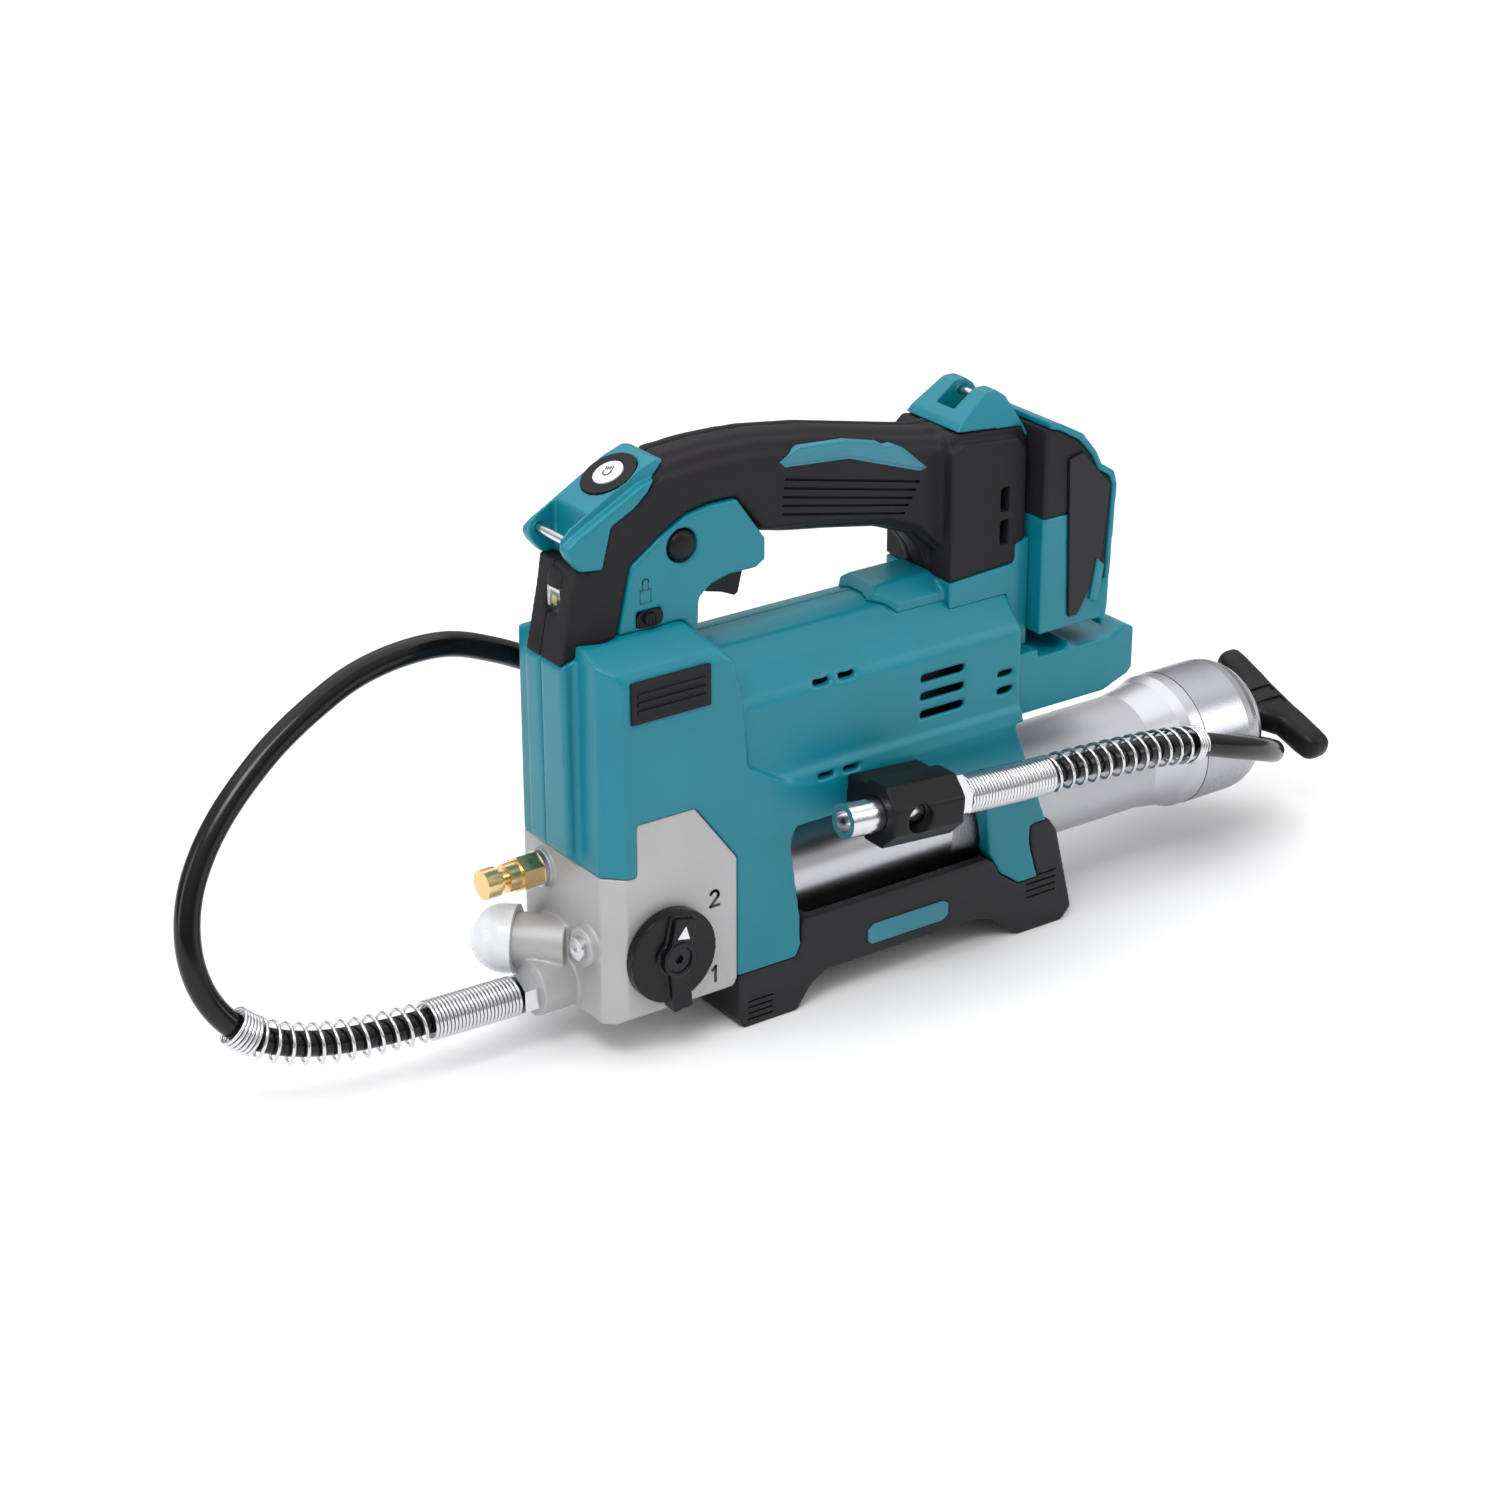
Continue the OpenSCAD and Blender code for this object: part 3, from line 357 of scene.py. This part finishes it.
def block(name, x, y, z):
    return side_prism(name, [(x[0], z[0]), (x[1], z[0]), (x[1], z[1]), (x[0], z[1])], *y)


def turned(name, profile, axis, at, sides=48):
    """A solid turned round an axis: profile is (distance along the axis, radius) pairs."""
    axis = Vector(axis).normalized()
    u = axis.orthogonal().normalized()
    v = axis.cross(u)
    at = Vector(at)
    rings = []
    for d, r in profile:
        rings.append([at + axis * d + (u * math.cos(t) + v * math.sin(t)) * max(r, 0.01)
                      for t in (2 * math.pi * i / sides for i in range(sides))])
    return loft(name, rings)


def shift(x, y, z):
    return Matrix.Translation(Vector((x, y, z)) * MM)


def turn_by(degrees, axis):
    return Matrix.Rotation(math.radians(degrees), 4, axis)


def settle(obj):
    """Turns an object's modifiers into its mesh."""
    graph = bpy.context.evaluated_depsgraph_get()
    mesh = bpy.data.meshes.new_from_object(obj.evaluated_get(graph))
    obj.modifiers.clear()
    obj.data = mesh


def combine(obj, others, operation):
    for other in others:
        step = obj.modifiers.new("step", "BOOLEAN")
        step.operation = operation
        step.solver = "EXACT"
        step.object = other
    settle(obj)
    for other in others:
        bpy.data.objects.remove(other)


def smooth_faces(obj, angle=None):
    for face in obj.data.polygons:
        face.use_smooth = True
    if angle:
        bm = bmesh.new()
        bm.from_mesh(obj.data)
        for edge in bm.edges:
            if len(edge.link_faces) == 2 and edge.calc_face_angle(0) > math.radians(angle):
                edge.smooth = False
        bm.to_mesh(obj.data)
        bm.free()


def relax(obj, passes, weight=None):
    """Smooths a mesh, each point by its weight."""
    mesh = obj.data
    points = np.empty(len(mesh.vertices) * 3)
    mesh.vertices.foreach_get("co", points)
    points = points.reshape(-1, 3)
    edges = np.empty(len(mesh.edges) * 2, dtype=np.int64)
    mesh.edges.foreach_get("vertices", edges)
    first, second = edges[0::2], edges[1::2]
    count = np.bincount(edges, minlength=len(points))[:, None]
    share = 0.5 if weight is None else 0.5 * weight(points / MM)[:, None]
    for _ in range(passes):
        total = np.stack([np.bincount(first, points[second, k], len(points))
                          + np.bincount(second, points[first, k], len(points)) for k in range(3)], axis=1)
        points += share * (total / count - points)
    mesh.vertices.foreach_set("co", points.ravel())
    mesh.update()


def soften(obj, voxel, passes, keep, extra=0, weight=None):
    """Rounds every edge: even cells of voxel millimetres, smoothed, then thinned to a share of the faces."""
    grid = obj.modifiers.new("grid", "REMESH")
    grid.mode = "VOXEL"
    grid.voxel_size = voxel * MM
    settle(obj)
    relax(obj, passes)
    if extra:
        relax(obj, extra, weight)
    thin = obj.modifiers.new("thin", "DECIMATE")
    thin.ratio = keep
    settle(obj)
    smooth_faces(obj)


def remodel(node, voxel, passes, keep=0.3, add=(), cut=(), late_cut=(), extra=0, weight=None):
    """The rounded, detailed skin that stands in for a CAD node, on that node's body."""
    obj = bpy.data.objects.new(node + "_skin", NODES[node].data.copy())
    bpy.context.collection.objects.link(obj)
    bm = bmesh.new()
    bm.from_mesh(obj.data)
    bmesh.ops.remove_doubles(bm, verts=bm.verts, dist=1e-6)
    bm.to_mesh(obj.data)
    bm.free()
    if add:
        combine(obj, add, "UNION")
    if cut:
        combine(obj, cut, "DIFFERENCE")
    soften(obj, voxel, passes, keep, extra, weight)
    if late_cut:
        combine(obj, late_cut, "DIFFERENCE")
        smooth_faces(obj, 35)
    stand_in(obj, finish_for(node), body_of(NODES[node])[0], node)


def joined(name, objs):
    """One object from several that don't touch."""
    verts, faces = [], []
    for obj in objs:
        start = len(verts)
        verts += [v.co / MM for v in obj.data.vertices]
        faces += [tuple(start + i for i in f.vertices) for f in obj.data.polygons]
        bpy.data.objects.remove(obj)
    return plain(name, verts, faces)


def place_on(obj, material, body):
    """Finishes a new piece: its look and its body."""
    paint(obj, material)
    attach(obj, body)


def stand_in(obj, material, body, node):
    """Finishes a piece that is drawn in place of a CAD node."""
    paint(obj, material)
    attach(obj, body)
    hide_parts(node)


def stroke(points, width, y0, y1, closed=False):
    """A pen stroke through points in x and z, from y0 to y1, as flat strips."""
    pieces = []
    pairs = list(zip(points, points[1:] + points[:1] if closed else points[1:]))
    for (xa, za), (xb, zb) in pairs:
        run = Vector((xb - xa, zb - za)).normalized() * width / 2
        across = Vector((-run.y, run.x))
        ends = [Vector((xa, za)) - run - across, Vector((xb, zb)) + run - across,
                Vector((xb, zb)) + run + across, Vector((xa, za)) - run + across]
        pieces.append(side_prism("stroke", [tuple(p) for p in ends], y0, y1))
    return pieces


def arc(cx, cz, radius, start, end, steps=10):
    angles = [math.radians(start + (end - start) * k / steps) for k in range(steps + 1)]
    return [(cx + radius * math.cos(a), cz + radius * math.sin(a)) for a in angles]


def finish_for(node):
    return next(material for material, names in NODE_FINISH.items() if node in names)


# ---------- pieces ----------

GROOVES = [[(23, 250.5), (98, 234)], [(22.5, 246.5), (96, 230.5)], [(22, 242.5), (94, 227)],
           [(22, 238.5), (92, 224)], [(22, 234.5), (90, 220.5)]]
GROOVE_HALF = 0.6
GROOVE_DEPTH = 1.6
INLAY = [(20, 259), (31, 264), (56, 262), (74, 257.5), (77.5, 255), (82, 255), (88, 252), (102, 240),
         (98, 239), (58, 253), (23, 256)]
INLAY_DEPTH = 3.5
SLOTS_X = (140.5, 145)
SLOTS_Z = ((196, 208), (212, 224))
BOW_HALF = 17
# Where the black sheet of painted shade stands inside the housing, behind its vents.
VENT_SHADE_X = (22, 138)
VENT_SHADE_Y = (23, 24)
VENT_SHADE_Z = (108, 163)


def make_housings():
    """The teal shells, with a black sheet of painted shade behind each side's vents."""
    for node in ("housing_left", "housing_right"):
        remodel(node, 1.0, 6, 0.22)
    remodel("trigger_housing", 0.7, 4, 0.3)
    remodel("column_foot", 0.8, 4, 0.3)
    # Each black sheet is painted shade: it darkens the vents where the interior is only in shade.
    for name, side in (("vent_shade_left", -1), ("vent_shade_right", 1)):
        shade_sheet = block(name, VENT_SHADE_X, span(side, *VENT_SHADE_Y), VENT_SHADE_Z)
        place_on(shade_sheet, BLACK, "tool")


def bow_weight(points):
    """Full smoothing along the bow, none on the neck and the column."""
    x, z = points[:, 0], points[:, 2]
    bow = np.clip((x + 45) / 12, 0, 1) * np.clip((118 - x) / 12, 0, 1)
    return bow * np.clip((z - 205) / 8, 0, 1)


def make_grip():
    """The grooved grips with the column's slots, and the inlays, each a raised plate on a wider low one."""
    for node, side in (("grip_left", -1), ("grip_right", 1)):
        lines = []
        for (x0, z0), (x1, z1) in GROOVES:
            across = Vector((z0 - z1, x1 - x0)).normalized() * GROOVE_HALF
            outline = [(x0 - across.x, z0 - across.y), (x1 - across.x, z1 - across.y),
                       (x1 + across.x, z1 + across.y), (x0 + across.x, z0 + across.y)]
            lines.append(side_prism("groove", outline, *span(side, BOW_HALF - GROOVE_DEPTH, BOW_HALF + 9)))
        for z in SLOTS_Z:
            lines.append(block("slot", SLOTS_X, span(side, 20, 30), z))
        remodel(node, 0.8, 5, 0.3, late_cut=[joined("cuts", lines)], extra=30, weight=bow_weight)
    plates = []
    for side in (-1, 1):
        for outline, out in ((INLAY, 0.15), (grown(INLAY, -1.4), 0.6)):
            plates.append(side_prism("plate", outline, *span(side, BOW_HALF - INLAY_DEPTH, BOW_HALF + out)))
    plate = joined("inlay_plates", plates)
    bevel(plate, 0.25)
    stand_in(plate, TEAL_PLATE, "tool", "handle_inlays")


def grown(outline, by):
    """An outline moved outwards by a distance, or inwards by a negative one."""
    points = [Vector(p) for p in outline]
    area = sum(a.x * b.y - b.x * a.y for a, b in zip(points, points[1:] + points[:1]))
    out = []
    for i, p in enumerate(points):
        before = (p - points[i - 1]).normalized()
        after = (points[(i + 1) % len(points)] - p).normalized()
        across = Vector((before.y + after.y, -before.x - after.x))
        if across.length < 1e-6:
            across = Vector((before.y, -before.x))
        out.append(tuple(p + across.normalized() * by * (1 if area > 0 else -1)))
    return out


def bevel(obj, width):
    """Rounds every edge sharper than 30 degrees."""
    step = obj.modifiers.new("edge", "BEVEL")
    step.width = width * MM
    step.segments = 2
    step.limit_method = "ANGLE"
    step.angle_limit = math.radians(30)
    step.harden_normals = False
    settle(obj)
    smooth_faces(obj, 50)


def make_column_slot_shade():
    """Painted shade: a block of darkened teal behind the column's slots."""
    place_on(block("column_slot_shade", (138.5, 147), (-8, 8), (194, 226)), SHADED_TEAL, "tool")


COIL_X = (15.6, 290.4)
COIL_R = 18
COIL_WIRE = 2.2
COIL_TURNS = 18
COIL_STEPS = 20


def make_follower_spring():
    """The follower's spring, drawn as a fixed coil along the barrel."""
    path = []
    for i in range(COIL_TURNS * COIL_STEPS + 1):
        x = COIL_X[0] + (COIL_X[1] - COIL_X[0]) * i / (COIL_TURNS * COIL_STEPS)
        turn = math.tau * i / COIL_STEPS
        path.append(Vector((x, COIL_R * math.cos(turn), BARREL_Z + COIL_R * math.sin(turn))))
    spring = as_mesh(wire("follower_coil", path, COIL_WIRE))
    stand_in(spring, STEEL, "barrel", "follower_spring")
    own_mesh(spring)


SLIDER_Z = 202.5
MARK_Y = (-18.18, -17.8)


def make_buttons():
    """The lock button, the lock slider in its recess, and the padlock mark above the slider."""
    cap = turned("lock_button_cap", [(0, 6.9), (3.8, 6.9), (5.1, 6.2), (5.8, 4.4), (6.1, 2.2), (6.2, 0)],
                 (0, -1, 0), (-32, -13.6, 232))
    smooth_faces(cap, 60)
    stand_in(cap, BLACK, "lock_button", "lock_button")
    outline = arc(-50.2, SLIDER_Z, 2.6, 90, 270) + arc(-48.2, SLIDER_Z, 2.6, -90, 90)
    slider = side_prism("slider_pad", outline, -20.2, -12.2)
    ribs = [block("rib", (x, x + 0.7), (-20.6, -20), (200.6, 204.4)) for x in (-51.2, -49.5, -47.8)]
    pad = joined("slider_cap", [slider] + ribs)
    bevel(pad, 0.25)
    stand_in(pad, BLACK, "lock_slider", "lock_slider")
    outline = arc(-52.2, SLIDER_Z, 3.9, 90, 270) + arc(-46.2, SLIDER_Z, 3.9, -90, 90)
    place_on(side_prism("slider_recess", outline, -18.12, -17.5), BLACK, "tool")
    # The padlock is moulded into the housing; its lines are drawn in darkened teal as painted shade.
    case = [(-54, 210), (-54, 216), (-48.5, 216), (-48.5, 210)]
    bow = [(-52.8, 216), (-52.8, 219)] + arc(-51.3, 219.5, 1.6, 180, 0) + [(-49.7, 216)]
    lines = stroke(case, 0.5, *MARK_Y, closed=True) + stroke(bow, 0.5, *MARK_Y)
    place_on(joined("padlock_mark", lines), SHADED_TEAL, "tool")


def make_lamp():
    """The hood over the lamp, its reflector and its chip."""
    hood = turned("lamp_hood", [(0, 6.2), (1.4, 6.0), (2.4, 5.0), (3.1, 3.2), (3.3, 0)], (-1, 0, 0.2),
                  (-84.2, 0, 222.5))
    combine(hood, [block("below", (-100, -70), (-10, 10), (200, 220.2))], "DIFFERENCE")
    smooth_faces(hood, 50)
    place_on(hood, SOFT_GREY, "tool")
    rings = []
    for x, half, low, high in ((-85.2, 4.6, 208.6, 219), (-84.5, 4.7, 208.5, 219.1)):
        rings.append([(x, -half, low), (x, half, low), (x, half, high), (x, -half, high)])
    cup = loft("reflector", rings)
    combine(cup, [block("opening", (-86, -84), (-3.6, 3.6), (210, 217.6))], "DIFFERENCE")
    place_on(cup, ZINC, "tool")
    chip = block("lamp_chip", (-85.6, -85.25), (-1.6, 1.6), (211.4, 215.6))
    place_on(chip, LED, "tool")


LIGHT_AT = (-57, 0, 264.5)
LIGHT_TILT = -27
BUTTON_TOP = 2.2


def make_light_mark():
    """The small lamp drawn on the light button."""
    lines = stroke(arc(0, 0.6, 2.0, -20, 200, 12), 0.45, -0.16, 0)
    lines += [block("ray", (x - 0.2, x + 0.2), (-0.16, 0), (-2.9, -0.9)) for x in (-1.8, -0.6, 0.6, 1.8)]
    mark = joined("light_mark", lines)
    mark.data.transform(shift(*LIGHT_AT) @ turn_by(LIGHT_TILT, "Y") @ shift(0, 0, BUTTON_TOP)
                        @ turn_by(-65, "Z") @ turn_by(90, "X"))
    place_on(mark, DARK_PRINT, "light_button")


DIGIT_Y = (-39.72, -39.4)


def make_digits():
    """The 2 and the 1 that mark the selector's two positions."""
    two = stroke(arc(-31, 72.6, 2.1, 160, -30, 8) + [(-33.2, 67.3), (-28.6, 67.3)], 1.25, *DIGIT_Y)
    one = stroke([(-32.2, 35.2), (-30.6, 36.6), (-30.6, 29.4)], 1.35, *DIGIT_Y)
    place_on(joined("position_digits", two + one), DARK_PRINT, "tool")


FOOT_RIBS = [((-13, 1), (3.5, 6.5, 9.5, 12.5)), ((150, 168), (18, 21.5, 25, 28.5))]


def make_black_parts():
    """The base with ribs cut across its feet, the battery cover, and the holder, knob and trigger."""
    ribs = [block("rib_cut", x, span(side, 38.9, 50), (z, z + 1))
            for x, heights in FOOT_RIBS for side in (-1, 1) for z in heights]
    remodel("base_bracket", 0.9, 4, 0.3, late_cut=[joined("ribs", ribs)])
    remodel("battery_cover", 0.9, 4, 0.3)
    window = turned("window", [(0, 6.2), (20, 6.2)], (0, -1, 0), (56.1, -66, 100.2))
    remodel("coupler_holder", 0.6, 4, 0.3, late_cut=[window])
    remodel("selector_knob", 0.5, 2, 0.3)
    remodel("trigger", 0.5, 5, 0.3)


# Half the bar from its end to its middle: place across it, front x, back x and half height.
BAR_ROWS = [(-39.3, 344, 346, 0.5), (-38.9, 341, 349.5, 4.0), (-37.6, 338.3, 350.8, 6.0),
            (-35.5, 336.8, 351.3, 7.0), (-30, 335.8, 351.4, 7.4), (-22, 335.2, 351.4, 7.2),
            (-16, 334.6, 351.4, 7.2), (-13, 331.5, 351.3, 7.3), (-9, 327.6, 351.2, 7.5),
            (-5, 325.6, 351.1, 7.8), (0, 325, 351, 8.0)]
BAR_SIDES = 32
BAR_TILT = 20
SQUARENESS = 0.7


def boxy(value):
    """A sine or cosine pushed outwards, which makes a circle squarer."""
    return math.copysign(abs(value) ** SQUARENESS, value)


def make_t_handle():
    """The bar is wide and flat-ended, and grows out of a round stem."""
    stem = turned("t_bar", [(0, 6.6), (0.6, 7.0), (14, 7.0)], (1, 0, 0), (323, 0, BARREL_Z))
    rows = BAR_ROWS + [(-y, front, back, rz) for y, front, back, rz in reversed(BAR_ROWS[:-1])]
    turns = [math.tau * k / BAR_SIDES for k in range(BAR_SIDES)]
    rings = []
    for y, front, back, rz in rows:
        x, rx = (front + back) / 2, (back - front) / 2
        rings.append([(x + rx * boxy(math.cos(t)), y, rz * boxy(math.sin(t))) for t in turns])
    bar = loft("bar", rings)
    sockets = [block("slot", (334, 345), span(side, 3, 8.8), (-1.8, 1.8)) for side in (-1, 1)]
    sockets += [block("face", (328, 346), span(side, 2.2, 7), z)
                for z in ((-12, -6.4), (6.4, 12)) for side in (-1, 1)]
    combine(bar, [joined("sockets", sockets)], "DIFFERENCE")
    bar.data.transform(shift(0, 0, BARREL_Z) @ turn_by(BAR_TILT, "X"))
    combine(stem, [bar], "UNION")
    smooth_faces(stem, 40)
    stand_in(stem, BLACK, "rod", "t_handle")


def make_castings():
    """The pump head, the strap lugs and the battery mount with its latch tab."""
    remodel("pump_head", 0.6, 3, 0.3)
    remodel("front_strap_lug", 0.6, 6, 0.3)
    remodel("rear_strap_lug", 0.6, 6, 0.3)
    remodel("battery_mount", 0.9, 3, 0.3)
    tab = side_prism("latch_tab", [(187, 162), (191.5, 160), (195, 178), (190.5, 182)], -34.9, -32.5)
    bevel(tab, 0.5)
    place_on(tab, TEAL, "tool")


# ---------- hose and spring guards ----------

HOSE_D = 11.6
GUARD_D = 18.8
WIRE_D = 1.65
HOSE_ROUTE = [(-112.6, 0, 30), (-134, 0, 30.6), (-156, 0, 31.2), (-177, 1, 31.8), (-197.5, 3.1, 33.1),
              (-216.4, 5.8, 36.3), (-232.6, 8.9, 42.4), (-245.3, 12, 52), (-253.8, 15.5, 64.8),
              (-257.9, 19.1, 79.7), (-257.4, 23.1, 95.2), (-252.9, 27, 110.2), (-244.6, 30.7, 124.3),
              (-233.3, 34, 137.5), (-219, 37, 150), (-202, 40, 162), (-182, 42, 173), (-160, 45, 181),
              (-136, 46, 185), (-111, 48, 183), (-87, 49, 174), (-64, 51, 162), (-38, 52, 149),
              (0, 53, 131), (45, 53, 111), (90, 53, 94), (135, 53, 78), (180, 53, 63), (225, 52, 50),
              (257.8, 51.3, 41.8), (283.3, 48, 37), (304.1, 38.7, 34.8), (319.3, 23.2, 35.1),
              (326.2, 2.3, 38.3), (323, -18.7, 44.4), (310.6, -37.4, 53), (290.6, -49.2, 63.3),
              (266.5, -55.6, 73.3), (240, -58, 82.5), (212, -61, 89), (185, -62, 92), (155, -62, 94),
              (120, -62, 95.4), (90.2, -62, 97.6)]


def smooth_path(points, steps):
    """The smooth curve through points that part.scad draws, with more steps."""
    points = [Vector(p) for p in points]
    path = []
    last = len(points) - 1
    for i in range(last):
        a, b, c, d = points[max(0, i - 1)], points[i], points[i + 1], points[min(last, i + 2)]
        for k in range(steps):
            t = k / steps
            path.append(0.5 * (2 * b + (c - a) * t + (2 * a - 5 * b + 4 * c - d) * t * t
                               + (3 * b - a - 3 * c + d) * t ** 3))
    return path + [points[-1]]


def path_length(path):
    return sum((b - a).length for a, b in zip(path, path[1:]))


def wire(name, path, diameter, sides=3):
    """A round wire or tube along a path in millimetres."""
    data = bpy.data.curves.new(name, "CURVE")
    data.dimensions = "3D"
    data.bevel_depth = diameter / 2 * MM
    data.bevel_resolution = sides
    data.use_fill_caps = True
    spline = data.splines.new("POLY")
    spline.points.add(len(path) - 1)
    for point, place in zip(spline.points, path):
        point.co = (*(place * MM), 1)
    obj = bpy.data.objects.new(name, data)
    bpy.context.collection.objects.link(obj)
    return obj


def as_mesh(curve):
    """The same shape as a mesh object."""
    graph = bpy.context.evaluated_depsgraph_get()
    mesh = bpy.data.meshes.new_from_object(curve.evaluated_get(graph))
    obj = bpy.data.objects.new(curve.name + "_mesh", mesh)
    bpy.context.collection.objects.link(obj)
    bpy.data.objects.remove(curve)
    for face in mesh.polygons:
        face.use_smooth = True
    return obj


class Along:
    """Places along a path by distance, each with a frame that twists as little as possible."""

    def __init__(self, path):
        self.path = path
        self.at = [0.0]
        for a, b in zip(path, path[1:]):
            self.at.append(self.at[-1] + (b - a).length)
        side = Vector((0, 1, 0))
        self.sides = []
        for i in range(len(path)):
            way = (path[min(i + 1, len(path) - 1)] - path[max(i - 1, 0)]).normalized()
            side = (side - way * side.dot(way)).normalized()
            self.sides.append((side.copy(), way.cross(side)))

    def place(self, s):
        beyond = next((k for k, v in enumerate(self.at) if v > s), len(self.at))
        i = max(0, min(len(self.at) - 2, beyond - 1))
        t = (s - self.at[i]) / (self.at[i + 1] - self.at[i])
        centre = self.path[i].lerp(self.path[i + 1], t)
        u = self.sides[i][0].lerp(self.sides[i + 1][0], t)
        v = self.sides[i][1].lerp(self.sides[i + 1][1], t)
        return centre, u.normalized(), v.normalized()


POINTS_PER_TURN = 16


def coil_path(along, runs, radius, start):
    """Wire wound round a path from distance start: runs are (length, pitch) pairs."""
    path = []
    s, angle = start, 0.0
    for length, pitch in runs:
        steps = round(length / pitch * POINTS_PER_TURN)
        for _ in range(steps):
            centre, u, v = along.place(s)
            path.append(centre + radius * (math.cos(angle) * u + math.sin(angle) * v))
            s += length / steps
            angle += 2 * math.pi / POINTS_PER_TURN
    return path


def make_hose():
    """The hose along its route, and the spring guards wound round its ends."""
    path = smooth_path(HOSE_ROUTE, 6)
    along = Along(path)
    length = path_length(path)
    hose = wire("hose_tube", path, HOSE_D, sides=8)
    paint(hose, HOSE_RUBBER)
    radius = (GUARD_D - WIRE_D) / 2
    near_coil = coil_path(along, [(44, 1.85), (82, 6.8), (12, 1.9)], radius, 0.5)
    far_coil = coil_path(along, [(6, 1.9), (92, 7.6), (50, 1.85)], radius, length - 148.6)
    near = wire("outlet_spring", near_coil, WIRE_D)
    far = wire("coupler_spring", far_coil, WIRE_D)
    near, far = as_mesh(near), as_mesh(far)
    for piece, node in ((hose, "hose"), (near, "outlet_guard"), (far, "coupler_guard")):
        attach(piece, "tool")
        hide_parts(node)
    for spring in (near, far):
        paint(spring, ZINC)


# ---------- floor ----------

def make_floor():
    mesh = bpy.data.meshes.new("floor")
    half = 6.0
    corners = [(-half, -half, 0), (half, -half, 0), (half, half, 0), (-half, half, 0)]
    mesh.from_pydata(corners, [], [(0, 1, 2, 3)])
    floor = bpy.data.objects.new("floor", mesh)
    bpy.context.collection.objects.link(floor)
    paint(floor, finish_of("floor_paper", (0.86, 0.86, 0.87), 0.8, grain=60, depth=0.01, mottle=0.01))


add_camera()
make_hose()
add_studio()
paint_nodes()
make_housings()
make_grip()
make_column_slot_shade()
make_follower_spring()
make_buttons()
make_lamp()
make_light_mark()
make_digits()
make_black_parts()
make_t_handle()
make_castings()
make_floor()
